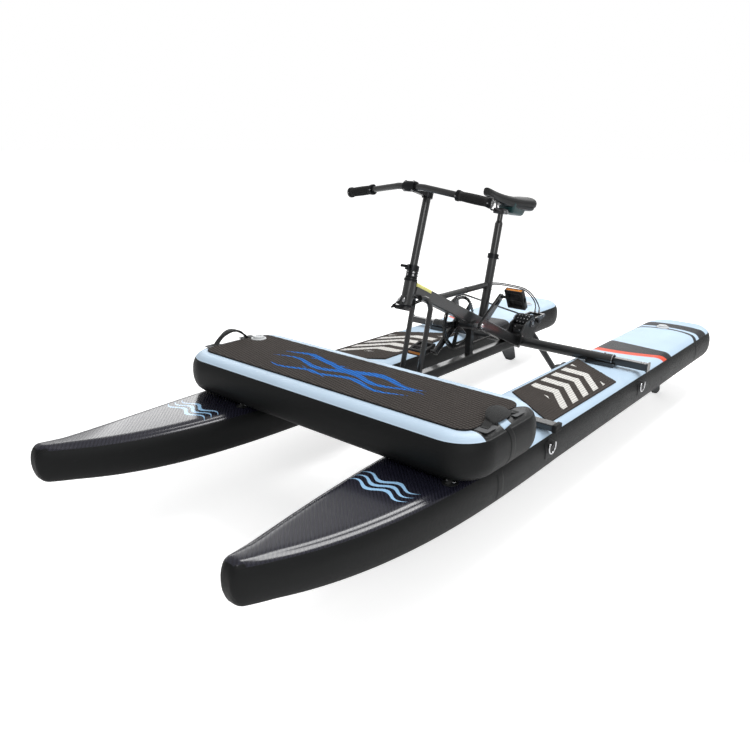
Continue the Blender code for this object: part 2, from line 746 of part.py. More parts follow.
def make_bench_handles():
    """A webbing strap that stands up in an arch, with its two ends laid flat."""
    base = BENCH_TOP + GAP
    middle = (HANDLE_FRONT_Y + HANDLE_REAR_Y) / 2
    half = (HANDLE_REAR_Y - HANDLE_FRONT_Y) / 2
    steps = 14
    lower, upper = [], []
    for step in range(steps + 1):
        along = -1 + 2 * step / steps
        rise = HANDLE_RISE * max(0.0, math.cos(math.pi / 2 * along / 0.86)) ** 0.8 if abs(along) < 0.86 else 0.0
        lower.append((middle + half * along, base + rise))
        upper.append((middle + half * along, base + rise + HANDLE_THICKNESS))
    outline = lower + upper[::-1]
    for label, side in SIDES:
        x = side * HANDLE_X
        matrix = Matrix.Translation((x, 0, 0)) @ Matrix.Rotation(math.pi / 2, 4, "Y") @ Matrix.Rotation(
            math.pi / 2, 4, "Z"
        )
        strap = outline_data([outline], HANDLE_WIDTH, matrix)
        new_part(f"{label}_bench_handle", strap, "webbing")


# Crossbars

def make_front_crossbar():
    z = DECK + CROSSBAR_PAD + FRONT_BAR_HEIGHT / 2
    size = (FRONT_BAR_LENGTH - 2 * BAR_CAP, FRONT_BAR_DEPTH, FRONT_BAR_HEIGHT)
    bar = new_part("front_crossbar", box_data(size, (0, FRONT_BAR_Y, z), bevel=0.003), "frame_black")
    foot_height = CROSSBAR_PAD - GAP + 0.004
    for side in (PORT, STARBOARD):
        cap_x = side * (FRONT_BAR_LENGTH - BAR_CAP) / 2
        cap_size = (BAR_CAP * 1.5, FRONT_BAR_DEPTH + 2 * BAR_CAP_LIP, FRONT_BAR_HEIGHT + 2 * BAR_CAP_LIP)
        combine(bar, box_data(cap_size, (cap_x, FRONT_BAR_Y, z), bevel=0.002), "UNION")
        foot = (BAR_FOOT_LENGTH, FRONT_BAR_DEPTH * 1.3, foot_height)
        foot_z = DECK + GAP + foot_height / 2
        combine(bar, box_data(foot, (side * HULL_X, FRONT_BAR_Y, foot_z)), "UNION")


def make_rear_crossbar():
    inner = REAR_BAR_RADIUS - REAR_BAR_WALL
    profile = [
        (COLLAR_RADIUS, REAR_BAR_HALF), (COLLAR_RADIUS, REAR_BAR_HALF - COLLAR_LENGTH),
        (REAR_BAR_RADIUS, REAR_BAR_HALF - COLLAR_LENGTH), (REAR_BAR_RADIUS, -REAR_BAR_HALF + COLLAR_LENGTH),
        (COLLAR_RADIUS, -REAR_BAR_HALF + COLLAR_LENGTH), (COLLAR_RADIUS, -REAR_BAR_HALF),
        (inner, -REAR_BAR_HALF), (inner, REAR_BAR_HALF),
    ]
    place = (0, REAR_BAR_Y, REAR_BAR_Z)
    bar = turned_part("rear_crossbar", profile, "frame_black", place, (1, 0, 0), closed=True)
    cradle = REAR_BAR_RADIUS - REAR_BAR_WALL / 2      # the feet end within the tube's wall
    drop = math.asin((REAR_BAR_RISE - REAR_FOOT_HEIGHT) / cradle)
    half = REAR_FOOT_DEPTH / 2
    outline = [(half, REAR_FOOT_HEIGHT), (-half, REAR_FOOT_HEIGHT), (-half, GAP), (half, GAP)]
    outline[1:1] = arc((0, REAR_BAR_RISE), cradle, -drop, drop - math.pi, 10)
    outline = [(y + REAR_BAR_Y, z + DECK) for y, z in outline]
    for side in (PORT, STARBOARD):
        foot = outline_data([outline], REAR_FOOT_LENGTH, sideways(Vector((0, 0, 0)), side * REAR_FOOT_X))
        combine(bar, foot, "UNION")


def make_crossbar_ends():
    for label, side in SIDES:
        start = REAR_BAR_HALF - BAR_END_GRIP
        length = BAR_END_X - start
        x = side * (start + length / 2)
        place = (x, REAR_BAR_Y, REAR_BAR_Z)
        bar = new_part(
            f"{label}_crossbar_end", box_data((length, BAR_END_SIZE, BAR_END_SIZE), place, bevel=BAR_END_BEVEL),
            "frame_black",
        )
        cap_size = (BAR_CAP, BAR_END_SIZE + 0.006, BAR_END_SIZE + 0.006)
        cap = box_data(cap_size, (side * (BAR_END_X + BAR_CAP / 4), REAR_BAR_Y, REAR_BAR_Z), bevel=0.0015)
        combine(bar, cap, "UNION")


# Frame

def beam_data(margin=0.0):
    """The main beam's solid, or one grown by a margin, which cuts what meets it."""
    start = BEAM_AT_CRANK + BEAM_RUN * ((BEAM_FRONT_Y - CRANK_Y) / BEAM_RUN.y)
    end = BEAM_AT_CRANK + BEAM_RUN * ((REAR_BAR_Y - CRANK_Y) / BEAM_RUN.y)
    size = (BEAM_WIDTH + 2 * margin, (end - start).length, BEAM_HEIGHT + 2 * margin)
    bevel = 0 if margin else 0.004
    return box_data(size, (start + end) / 2, tilt=-BEAM_SLOPE, bevel=bevel)


def above_beam_cutter():
    """All that lies above the beam's underside, so that what it cuts stops there."""
    reach = (REAR_BAR_Y + CUTTER_MARGIN - CRANK_Y) / BEAM_RUN.y
    size = (BEAM_WIDTH + CUTTER_MARGIN, 2 * reach, CUTTER_HEIGHT)
    return box_data(size, CRANK_CENTRE + BEAM_UP * (CUTTER_HEIGHT / 2 - GAP), tilt=-BEAM_SLOPE)


def head_cutter():
    return cylinder_data(HEAD_BASE - HEAD_AXIS * CUTTER_MARGIN, HEAD_BASE + HEAD_AXIS * CUTTER_HEIGHT, HEAD_RADIUS + GAP, 32)


def rear_bar_cutter():
    reach = Vector((CUTTER_MARGIN, 0, 0))
    centre = Vector((0, REAR_BAR_Y, REAR_BAR_Z))
    return cylinder_data(centre - reach, centre + reach, REAR_BAR_RADIUS + GAP, 32)


def shell_cutter():
    reach = Vector((SHELL_HALF, 0, 0)) * 1.5
    return cylinder_data(CRANK_CENTRE - reach, CRANK_CENTRE + reach, SHELL_RADIUS + GAP, 32)


def make_main_beam():
    beam = new_part("main_beam", beam_data(), "frame_black")
    combine(beam, head_cutter())
    combine(beam, rear_bar_cutter())
    combine(beam, shell_cutter())


def make_head_tube():
    outer, cup = HEAD_RADIUS, HEAD_RADIUS + HEAD_CUP_LIP
    inner = STEERER_RADIUS + TURNING_GAP
    profile = [
        (cup, HEAD_LENGTH), (cup, HEAD_LENGTH - HEAD_CUP), (outer, HEAD_LENGTH - HEAD_CUP),
        (outer, HEAD_CUP), (cup, HEAD_CUP), (cup, 0), (inner, 0), (inner, HEAD_LENGTH),
    ]
    turned_part("head_tube", profile, "frame_black", HEAD_BASE, HEAD_AXIS, closed=True)


def seat_tube_foot():
    """Where the seat tube's axis meets the top of the beam."""
    along = (SEAT_TUBE_FOOT_Y - CRANK_Y) / BEAM_RUN.y
    return BEAM_AT_CRANK + BEAM_RUN * along + BEAM_UP * (BEAM_HEIGHT / 2)


def seat_tube_length():
    return (SEAT_TUBE_TOP_Z - seat_tube_foot().z) / SEAT_AXIS.z


def make_seat_tube():
    foot = seat_tube_foot()
    inner = SEAT_TUBE_RADIUS - SEAT_TUBE_WALL
    tube = sleeve(
        "seat_tube", inner, SEAT_TUBE_RADIUS, -0.02, seat_tube_length(), "frame_black", foot, SEAT_AXIS
    )
    combine(tube, beam_data(GAP))


def make_top_tube():
    rear_y = seat_tube_foot().y + (TOP_TUBE_Z - seat_tube_foot().z) * math.tan(SEAT_TUBE_TILT)
    route = [(0, TOP_TUBE_FRONT_Y, TOP_TUBE_Z), (0, rear_y, TOP_TUBE_Z)]
    tube = new_part("top_tube", solid_mesh(curve_data(route, TOP_TUBE_RADIUS)), "frame_black")
    combine(tube, beam_data(GAP))
    foot = seat_tube_foot()
    combine(tube, cylinder_data(foot, foot + SEAT_AXIS * 0.4, SEAT_TUBE_RADIUS + GAP, 32))


def make_front_legs():
    """Each tube is welded to the beam's side behind the head, bends down and stands on the front bar."""
    bar_top = FRONT_BAR_TOP + GAP
    side_x = BEAM_WIDTH / 2 + LEG_RADIUS + GAP
    run = (LEG_TOP_Y - FRONT_BAR_Y) / (LEG_BEND_Z - bar_top)
    for label, side in SIDES:
        bend = [
            (side_x, -0.052, 0.019), (side_x, -0.030, 0.016), (side_x + 0.003, -0.012, 0.008),
            (LEG_SPREAD - 0.004, -0.002, -0.008), (LEG_SPREAD, 0.0, -0.028),
        ]
        route = [(side * x, LEG_TOP_Y + y, LEG_BEND_Z + z) for x, y, z in bend]
        low = bar_top - 0.01
        route.append((side * LEG_SPREAD, LEG_TOP_Y - run * (LEG_BEND_Z - low), low))
        leg = new_part(f"{label}_front_leg", solid_mesh(curve_data(route, LEG_RADIUS)), "frame_black")
        box = box_data((0.2, 0.12, 0.05), (0, FRONT_BAR_Y, bar_top - 0.025))
        combine(leg, box)


def make_keel_rail():
    front = FRONT_BAR_Y + FRONT_BAR_DEPTH / 2 + GAP
    size = (KEEL_WIDTH, REAR_BAR_Y - front, KEEL_HEIGHT)
    centre = (0, (front + REAR_BAR_Y) / 2, KEEL_Z)
    rail = new_part("keel_rail", box_data(size, centre, bevel=0.003), "frame_black")
    combine(rail, above_beam_cutter())
    combine(rail, rear_bar_cutter())


def make_centre_strut():
    """The post on the keel rail and the crank's bearing shell on top of it, which sits in the beam's notch."""
    foot = KEEL_Z + KEEL_HEIGHT / 2 + GAP
    top = CRANK_Z - SHELL_RADIUS * STRUT_TOP_SHARE
    size = (STRUT_WIDTH, STRUT_DEPTH, top - foot)
    strut = new_part("centre_strut", box_data(size, (0, STRUT_Y, (top + foot) / 2)), "frame_black")
    reach = Vector((SHELL_HALF, 0, 0))
    combine(strut, cylinder_data(CRANK_CENTRE - reach, CRANK_CENTRE + reach, SHELL_RADIUS, 32), "UNION")
    bore = Vector((SHELL_HALF * 1.5, 0, 0))
    combine(strut, cylinder_data(CRANK_CENTRE - bore, CRANK_CENTRE + bore, SPINDLE_RADIUS + TURNING_GAP, 24))


# Steering

def make_steerer():
    """Turns in the head tube. The tiller arm across its foot pulls the two cables."""
    bore = STEERER_RADIUS - STEERER_WALL
    top = -TURNING_GAP
    profile = [
        (STEERER_RADIUS, STEERER_TOP), (STEERER_RADIUS, top), (STEERER_FLANGE_RADIUS, top),
        (STEERER_FLANGE_RADIUS, -STEERER_FLANGE), (bore, -STEERER_FLANGE), (bore, STEERER_TOP),
    ]
    steerer = turned_part("steerer", profile, "frame_black", HEAD_BASE, HEAD_AXIS, closed=True)
    centre = HEAD_BASE - HEAD_AXIS * (STEERER_FLANGE - TILLER_THICKNESS / 2) + HEAD_FORWARD * 0.019
    arm = box_data((2 * TILLER_REACH, TILLER_DEPTH, TILLER_THICKNESS), centre, tilt=-HEAD_TILT, bevel=0.001)
    combine(steerer, arm, "UNION")


def make_clamp(name, tube_radius, base, axis, outwards):
    """A split collar with one ear, on whose pin the quick-release lever turns."""
    outer = tube_radius + GAP + CLAMP_WALL
    collar = sleeve(name, tube_radius + GAP, outer, 0, CLAMP_HEIGHT, "alloy_black", base, axis)
    side = Vector(outwards)
    ear_centre = base + axis * (EAR_THICKNESS / 2) + side * (outer + CLAMP_EAR / 2 - 0.002)
    tilt = -math.asin(axis.y)
    ear_size = (CLAMP_EAR, CLAMP_EAR + 0.004, EAR_THICKNESS)
    combine(collar, box_data(ear_size, ear_centre, tilt=tilt, bevel=0.001), "UNION")
    pin = pin_point(tube_radius, base, side)
    top = pin + axis * (EAR_THICKNESS + LEVER_HEIGHT + 0.003)
    combine(collar, cylinder_data(pin + axis * 0.001, top, PIN_RADIUS, 16), "UNION")
    return pin


def pin_point(tube_radius, base, side):
    return base + side * (tube_radius + GAP + CLAMP_WALL + CLAMP_EAR * 0.55)


def make_lever(name, pin, axis, reach, radius_side):
    """A cam lever that lies along the reach direction when it is closed."""
    foot = pin + axis * (EAR_THICKNESS + TURNING_GAP)
    reach = Vector(reach)
    height = LEVER_HEIGHT
    eye = cylinder_data(foot, foot + axis * height, LEVER_EYE_RADIUS, 20)
    lever = new_part(name, eye, "alloy_black", origin=pin)
    arm_centre = foot + axis * (height / 2) + reach * (LEVER_LENGTH / 2 + 0.002)
    arm_centre += Vector(radius_side) * (LEVER_EYE_RADIUS - LEVER_THICKNESS / 2)
    tilt = -math.asin(axis.y)
    arm = box_data((LEVER_LENGTH, LEVER_THICKNESS, height), arm_centre, tilt=tilt, bevel=0.0015)
    local(arm, pin)
    combine(lever, arm, "UNION").modifiers[-1].object.location = pin
    bore = cylinder_data(foot - axis * 0.01, foot + axis * 0.03, PIN_RADIUS + TURNING_GAP, 16)
    local(bore, pin)
    combine(lever, bore).modifiers[-1].object.location = pin


def local(data, origin):
    data.transform(Matrix.Translation(-Vector(origin)))


def make_column_clamp():
    base = HEAD_BASE + HEAD_AXIS * (STEERER_TOP - CLAMP_HEIGHT - 0.002)
    pin = make_clamp("column_collar", STEERER_RADIUS, base, HEAD_AXIS, HEAD_FORWARD)
    make_lever("column_lever", pin, HEAD_AXIS, (-1, 0, 0), HEAD_FORWARD)


def make_column():
    start = STEERER_TOP - COLUMN_INSERT
    top = COLUMN_TOP
    profile = [(0, top), (COLUMN_RADIUS - 0.001, top), (COLUMN_RADIUS, top - 0.001), (COLUMN_RADIUS, start), (0, start)]
    turned_part("handlebar_column", profile, "frame_black", HEAD_BASE, HEAD_AXIS)


def bar_centre():
    return HEAD_BASE + HEAD_AXIS * (COLUMN_TOP - STEM_HEIGHT / 2 - 0.002) + HEAD_FORWARD * STEM_LENGTH


def bar_route():
    centre = bar_centre()
    end = centre + Vector((BAR_HALF, BAR_BACK, -BAR_DROP))
    knee = centre + Vector((BAR_STRAIGHT, 0.0, 0.0))
    port = [knee, knee.lerp(end, 0.03) + Vector((0.004, -0.0005, 0.0005)), end]
    return [Vector((-p.x, p.y, p.z)) for p in reversed(port)] + port


def make_stem():
    column_point = HEAD_BASE + HEAD_AXIS * (COLUMN_TOP - STEM_HEIGHT - 0.002)
    ring_radius = COLUMN_RADIUS + GAP
    stem = sleeve(
        "stem", ring_radius, ring_radius + STEM_WALL, 0, STEM_HEIGHT, "alloy_black", column_point, HEAD_AXIS
    )
    centre = bar_centre()
    reach = Vector((STEM_CLAMP_LENGTH / 2, 0, 0))
    clamp = cylinder_data(centre - reach, centre + reach, BAR_RADIUS + GAP + STEM_WALL, 24)
    to_local = stem.matrix_world.inverted()
    for data, operation in (
        (stem_arm_data(column_point, centre, ring_radius), "UNION"),
        (clamp, "UNION"),
        (cylinder_data(centre - reach * 1.5, centre + reach * 1.5, BAR_RADIUS + GAP, 24), "DIFFERENCE"),
    ):
        data.transform(to_local)
        combine(stem, data, operation).modifiers[-1].object.matrix_world = stem.matrix_world


def stem_arm_data(column_point, centre, ring_radius):
    start = ring_radius + STEM_WALL * 0.4
    length = STEM_LENGTH - start - BAR_RADIUS - GAP - STEM_WALL * 0.4
    middle = column_point + HEAD_AXIS * (STEM_HEIGHT / 2) + HEAD_FORWARD * (start + length / 2)
    return box_data((STEM_WIDTH, length, STEM_HEIGHT * 0.8), middle, tilt=-HEAD_TILT, bevel=0.003)


def make_handlebar():
    new_part("handlebar", curve_data([tuple(p) for p in bar_route()], BAR_RADIUS, 4), "frame_black")


def make_grips():
    route = bar_route()
    for label, side in SIDES:
        end, knee = (route[-1], route[-2]) if side == PORT else (route[0], route[1])
        outwards = (end - knee).normalized()
        length = GRIP_LENGTH
        ring = GRIP_RING_LENGTH
        inner = BAR_RADIUS + GAP
        profile = [
            (0, length), (GRIP_RING_RADIUS, length), (GRIP_RING_RADIUS, length - ring),
            (GRIP_RADIUS, length - ring), (GRIP_RADIUS, ring), (GRIP_RING_RADIUS, ring),
            (GRIP_RING_RADIUS, 0), (inner, 0), (inner, length - GRIP_END), (0, length - GRIP_END),
        ]
        foot = end + outwards * (GRIP_END + GAP - length)
        turned_part(f"{label}_grip", profile, "rubber", foot, outwards, steps=24)


# Saddle

def post_point(z):
    foot = seat_tube_foot()
    return foot + SEAT_AXIS * ((z - foot.z) / SEAT_AXIS.z)


def make_seatpost():
    radius = SEAT_TUBE_RADIUS - SEAT_TUBE_WALL - GAP
    start = post_point(SEAT_TUBE_TOP_Z) - SEAT_AXIS * POST_INSERT
    length = (post_point(POST_TOP_Z) - start).length
    neck = length - POST_NECK_LENGTH
    profile = [
        (0, length), (POST_NECK_RADIUS, length), (POST_NECK_RADIUS, neck), (radius, neck - POST_TAPER_LENGTH),
        (radius, 0), (0, 0),
    ]
    turned_part("seatpost", profile, "frame_black", start, SEAT_AXIS)


def make_seat_clamp():
    base = post_point(SEAT_TUBE_TOP_Z) - SEAT_AXIS * (CLAMP_HEIGHT + 0.001)
    backwards = Vector((0, math.cos(SEAT_TUBE_TILT), -math.sin(SEAT_TUBE_TILT)))
    pin = make_clamp("seat_collar", SEAT_TUBE_RADIUS, base, SEAT_AXIS, backwards)
    make_lever("seat_lever", pin, SEAT_AXIS, (-1, 0, 0), backwards)


def saddle_top(y):
    along = (y - SADDLE_NOSE_Y) / SADDLE_LENGTH
    return SADDLE_NOSE_Z - SADDLE_FALL * along


def saddle_ring(along):
    """Cage points round the saddle, at this share of its length from the nose."""
    y = SADDLE_NOSE_Y + SADDLE_LENGTH * along
    spread = max(0.0, (along - 0.25) / 0.75)
    half = SADDLE_NOSE_WIDTH / 2 + (SADDLE_WIDTH - SADDLE_NOSE_WIDTH) / 2 * spread ** 1.15
    if along < 0.02:
        half *= 0.75
    if along > 0.98:
        half *= 0.80
    crown = saddle_top(y) - SADDLE_DIP * math.sin(math.pi * along)
    depth = SADDLE_DEPTH * (0.62 + 0.38 * along)
    return [
        (0, y, crown), (half * 0.62, y, crown - 0.002), (half, y, crown - depth * 0.38),
        (half * 0.94, y, crown - depth * 0.85), (half * 0.55, y, crown - depth), (0, y, crown - depth * 0.92),
        (-half * 0.55, y, crown - depth), (-half * 0.94, y, crown - depth * 0.85),
        (-half, y, crown - depth * 0.38), (-half * 0.62, y, crown - 0.002),
    ]


def make_saddle():
    rings = [saddle_ring(along) for along in (0.0, 0.12, 0.38, 0.66, 0.90, 1.0)]
    origin = post_point(POST_TOP_Z)
    saddle = new_part("saddle", loft_data(rings), "rubber", origin=origin)
    soft = saddle.modifiers.new("padding", "SUBSURF")
    soft.levels = 2
    soft.render_levels = 2
    saddle.data.shade_smooth()


def make_saddle_rails():
    top = post_point(POST_TOP_Z)
    slope = math.atan2(SADDLE_FALL, SADDLE_LENGTH)
    middle = top + Vector((0, 0, RAIL_CLAMP_HEIGHT / 2 + GAP + RAIL_CLAMP_LIFT))
    clamp = box_data((2 * RAIL_SPREAD + 0.014, RAIL_CLAMP_LENGTH, RAIL_CLAMP_HEIGHT), middle, -slope, 0.003)
    part = new_part("saddle_rails", clamp, "steel")
    run = Vector((0, math.cos(slope), -math.sin(slope)))
    for side in (PORT, STARBOARD):
        axis = middle + Vector((side * RAIL_SPREAD, 0, 0))
        front, rear = axis - run * (RAIL_LENGTH / 2), axis + run * (RAIL_LENGTH / 2)
        route = [
            front + Vector((0, 0, RAIL_FRONT_RISE)), front + Vector((0, 0, RAIL_BEND / 2)), front + run * RAIL_BEND,
            rear - run * RAIL_BEND, rear + Vector((0, 0, RAIL_BEND / 2)), rear + Vector((0, 0, RAIL_REAR_RISE)),
        ]
        combine(part, solid_mesh(curve_data([tuple(p) for p in route], RAIL_RADIUS, 2)), "UNION")


# Cranks and chain

def make_spindle():
    reach = CRANK_X - 0.0005
    data = cylinder_data(CRANK_CENTRE - Vector((reach, 0, 0)), CRANK_CENTRE + Vector((reach, 0, 0)), SPINDLE_RADIUS)
    smooth(new_part("crank_spindle", data, "steel", origin=CRANK_CENTRE))


def crank_end(side):
    return CRANK_CENTRE + side * CRANK_LENGTH * Vector((0, math.cos(CRANK_ANGLE), math.sin(CRANK_ANGLE)))


def make_cranks():
    """Each arm is a rounded bar with a boss at the spindle and the pedal's axle at its end."""
    for label, side in SIDES:
        inner = CRANK_X
        end = crank_end(side)
        matrix = Matrix.Translation((side * (inner + CRANK_THICKNESS / 2), 0, 0)) @ Matrix.Rotation(
            math.pi / 2, 4, "Y"
        ) @ Matrix.Rotation(math.pi / 2, 4, "Z")
        angle = math.atan2(end.z - CRANK_Z, end.y - CRANK_Y)
        outline = arc((CRANK_Y, CRANK_Z), CRANK_WIDTH * 0.68, angle + 1.75, angle + 2 * math.pi - 1.75, 12)
        outline += arc((end.y, end.z), CRANK_WIDTH * 0.46, angle - math.pi / 2, angle + math.pi / 2, 8)
        arm = outline_data([outline], CRANK_THICKNESS, matrix, bevel=0.002)
        crank = new_part(f"{label}_crank", arm, "alloy_black", origin=CRANK_CENTRE)
        axle_start = Vector((side * (inner + 0.004), end.y, end.z))
        axle_end = Vector((side * (PEDAL_INNER + PEDAL_WIDTH - 0.004), end.y, end.z))
        axle = cylinder_data(axle_start, axle_end, PEDAL_AXLE_RADIUS, 16)
        local(axle, CRANK_CENTRE)
        combine(crank, axle, "UNION").modifiers[-1].object.location = CRANK_CENTRE
        if side == STARBOARD:
            near = Vector((CHAIN_X - CHAINRING_THICKNESS / 2 - GAP, 0, 0))
            far = Vector((-CRANK_X - CRANK_THICKNESS / 2, 0, 0))
            spider = cylinder_data(near, far, SPIDER_RADIUS, 28)
            combine(crank, spider, "UNION").modifiers[-1].object.location = CRANK_CENTRE
            bore = cylinder_data(near * 0.5, Vector((-CRANK_X, 0, 0)), SPINDLE_RADIUS + GAP, 20)
            combine(crank, bore).modifiers[-1].object.location = CRANK_CENTRE


def make_pedals():
    for label, side, tilt in (("port", PORT, PORT_PEDAL_TILT), ("starboard", STARBOARD, STARBOARD_PEDAL_TILT)):
        end = crank_end(side)
        centre = Vector((side * (PEDAL_INNER + PEDAL_WIDTH / 2), end.y, end.z))
        size = (PEDAL_WIDTH, PEDAL_LENGTH, PEDAL_HEIGHT)
        data = box_data(size, centre, tilt=tilt, bevel=0.007, segments=3)
        pedal = new_part(f"{label}_pedal", data, "plastic", origin=centre)
        reach = Vector((PEDAL_WIDTH, 0, 0))
        bore = cylinder_data(centre - reach, centre + reach, PEDAL_AXLE_RADIUS + TURNING_GAP, 16)
        local(bore, centre)
        combine(pedal, bore).modifiers[-1].object.location = centre


def toothed_outline(teeth, radius):
    """Two points a tooth: its tip, and the root beside it."""
    tip = radius + CHAIN_LIFT - 2 * GAP
    root = tip - TOOTH_HEIGHT
    points = []
    for tooth in range(teeth):
        for share, reach in ((0.0, root), (0.5, tip)):
            angle = 2 * math.pi * (tooth + share) / teeth
            points.append((reach * math.cos(angle), reach * math.sin(angle)))
    return points


def sideways(centre, x):
    """A frame in which an outline's first axis is Y and its second is Z."""
    return Matrix.Translation((x, centre.y, centre.z)) @ Matrix.Rotation(math.pi / 2, 4, "Y") @ Matrix.Rotation(
        math.pi / 2, 4, "Z"
    )


def make_chainring():
    outlines = [toothed_outline(CHAINRING_TEETH, CHAINRING_RADIUS)]
    rim = CHAINRING_RADIUS - CHAINRING_RIM
    step = 2 * math.pi / CHAINRING_ARMS
    for arm in range(CHAINRING_ARMS):
        middle = CRANK_ANGLE + step * (arm + 0.5)
        half = step / 2 - CHAINRING_ARM_ANGLE / 2
        far = arc((0, 0), rim, middle - half, middle + half, 8)
        near = arc((0, 0), CHAINRING_HUB, middle + half * 0.7, middle - half * 0.7, 4)
        outlines.append(far + near)
    outlines.append(arc((0, 0), SPINDLE_RADIUS + GAP, 0, 2 * math.pi * 15 / 16, 15))
    data = outline_data(outlines, CHAINRING_THICKNESS, sideways(CRANK_CENTRE, CHAIN_X))
    new_part("chainring", data, "alloy_black", origin=CRANK_CENTRE)


def belt_outline(lift, steps=22):
    """The line round both sprockets at a height above their pitch circles: two arcs and two straight runs."""
    away = DRIVE_CENTRE - CRANK_CENTRE
    distance = math.hypot(away.y, away.z)
    heading = math.atan2(away.z, away.y)
    lean = math.acos((CHAINRING_RADIUS - SPROCKET_RADIUS) / distance)
    big = arc(
        (CRANK_Y, CRANK_Z), CHAINRING_RADIUS + lift, heading + lean, heading + 2 * math.pi - lean, steps
    )
    small = arc((DRIVE_Y, DRIVE_Z), SPROCKET_RADIUS + lift, heading - lean, heading + lean, steps // 2)
    return big + small


def make_chain():
    outlines = [belt_outline(CHAIN_LIFT + CHAIN_HEIGHT, 40), belt_outline(CHAIN_LIFT, 40)]
    matrix = sideways(Vector((0, 0, 0)), CHAIN_X)
    new_part("chain", outline_data(outlines, CHAIN_WIDTH, matrix), "steel")


def make_sprocket():
    """The small chain wheel and the drive shaft that it turns, which runs through the bracket and the gearbox."""
    outline = toothed_outline(SPROCKET_TEETH, SPROCKET_RADIUS)
    data = outline_data([outline], CHAINRING_THICKNESS, sideways(DRIVE_CENTRE, CHAIN_X))
    sprocket = new_part("sprocket", data, "steel", origin=DRIVE_CENTRE)
    start = DRIVE_CENTRE + Vector((CHAIN_X - 0.008, 0, 0))
    end = DRIVE_CENTRE + Vector((BRACKET_X + BRACKET_THICKNESS + 0.004, 0, 0))
    shaft = cylinder_data(start, end, DRIVE_SHAFT_RADIUS, 20)
    local(shaft, DRIVE_CENTRE)
    combine(sprocket, shaft, "UNION").modifiers[-1].object.location = DRIVE_CENTRE


# Propeller drive

def make_drive_bracket():
    """Two side plates on the rear bar carry the gearbox, and a bridge behind it stops the steering cables."""
    top = DRIVE_Z + BRACKET_TOP
    front = REAR_BAR_Y - BRACKET_FRONT
    back = CABLE_STOP_Y + CABLE_STOP_SIZE / 2
    plate = [
        (front, REAR_BAR_Z - 0.004), (REAR_BAR_Y + 0.022, REAR_BAR_Z - 0.012), (DRIVE_Y + 0.020, REAR_BAR_Z - 0.006),
        (DRIVE_Y + BRACKET_REAR, DRIVE_Z - BRACKET_ARM), (back - 0.020, CABLE_STOP_Z - BRACKET_ARM),
        (back, CABLE_STOP_Z - BRIDGE_THICKNESS), (back, CABLE_STOP_Z), (CABLE_STOP_Y - CABLE_STOP_SIZE / 2, CABLE_STOP_Z),
    ]
    plate += arc((DRIVE_Y, DRIVE_Z), BRACKET_TOP, math.pi * 0.25, math.pi * 0.72, 5)
    plate += [(front + 0.030, top - 0.022), (front, REAR_BAR_Z + 0.044)]
    x = BRACKET_X + BRACKET_THICKNESS / 2
    origin = Vector((0, 0, 0))
    part = new_part("drive_bracket", outline_data([plate], BRACKET_THICKNESS, sideways(origin, x)), "frame_black")
    combine(part, outline_data([plate], BRACKET_THICKNESS, sideways(origin, -x)), "UNION")
    width = 2 * BRACKET_X + BRACKET_THICKNESS
    bridge_z = CABLE_STOP_Z - BRIDGE_THICKNESS / 2
    bridge = box_data((width, CABLE_STOP_SIZE, BRIDGE_THICKNESS), (0, CABLE_STOP_Y, bridge_z))
    combine(part, bridge, "UNION")
    seat_size = (width, 2 * REAR_BAR_RADIUS + 0.006, REAR_BAR_RADIUS + 0.006)
    combine(part, box_data(seat_size, (0, REAR_BAR_Y, REAR_BAR_Z + seat_size[2] / 2)), "UNION")
    combine(part, rear_bar_cutter())
    combine(part, beam_data(GAP))
    reach = Vector((CUTTER_MARGIN, 0, 0))
    combine(
        part, cylinder_data(DRIVE_CENTRE - reach, DRIVE_CENTRE + reach, DRIVE_SHAFT_RADIUS + TURNING_GAP, 20)
    )


def make_gearbox():
    """A round bevel gearbox that tilts about the drive shaft, with the neck in which the leg turns."""
    half = BRACKET_X - 0.0008
    reach = Vector((half, 0, 0))
    data = cylinder_data(DRIVE_CENTRE - reach, DRIVE_CENTRE + reach, GEARBOX_RADIUS, 32)
    part = new_part("gearbox", data, "alloy_black", origin=DRIVE_CENTRE)
    neck = cylinder_data(DRIVE_CENTRE, DRIVE_CENTRE + LEG_RUN * GEARBOX_NECK_END, GEARBOX_NECK_RADIUS, 28)
    bore = cylinder_data(DRIVE_CENTRE - reach * 2, DRIVE_CENTRE + reach * 2, DRIVE_SHAFT_RADIUS + TURNING_GAP, 20)
    for shape, operation in ((neck, "UNION"), (bore, "DIFFERENCE")):
        local(shape, DRIVE_CENTRE)
        combine(part, shape, operation).modifiers[-1].object.location = DRIVE_CENTRE


def make_drive_leg():
    """The shaft tube below the gearbox, with the arm that the steering cables turn it by."""
    start = DRIVE_CENTRE + LEG_RUN * DRIVE_LEG_START
    length = PROPELLER_DEPTH - FOOT_RADIUS * 0.80 - DRIVE_LEG_START
    collar = DRIVE_LEG_RADIUS + LEG_COLLAR_WALL
    profile = [
        (0, length), (DRIVE_LEG_RADIUS, length), (DRIVE_LEG_RADIUS, LEG_COLLAR_LENGTH),
        (collar, LEG_COLLAR_LENGTH), (collar, 0), (0, 0),
    ]
    leg = turned_part("drive_leg", profile, "alloy_black", start, LEG_RUN)
    arm_centre = start + LEG_RUN * (LEG_COLLAR_LENGTH / 2)
    arm = box_data((2 * LEG_ARM_REACH, LEG_ARM_WIDTH, LEG_ARM_THICKNESS), arm_centre, LEG_TILT, 0.002)
    to_local = leg.matrix_world.inverted()
    for data, operation in ((arm, "UNION"), (foot_cutter(), "DIFFERENCE")):
        data.transform(to_local)
        combine(leg, data, operation).modifiers[-1].object.matrix_world = leg.matrix_world


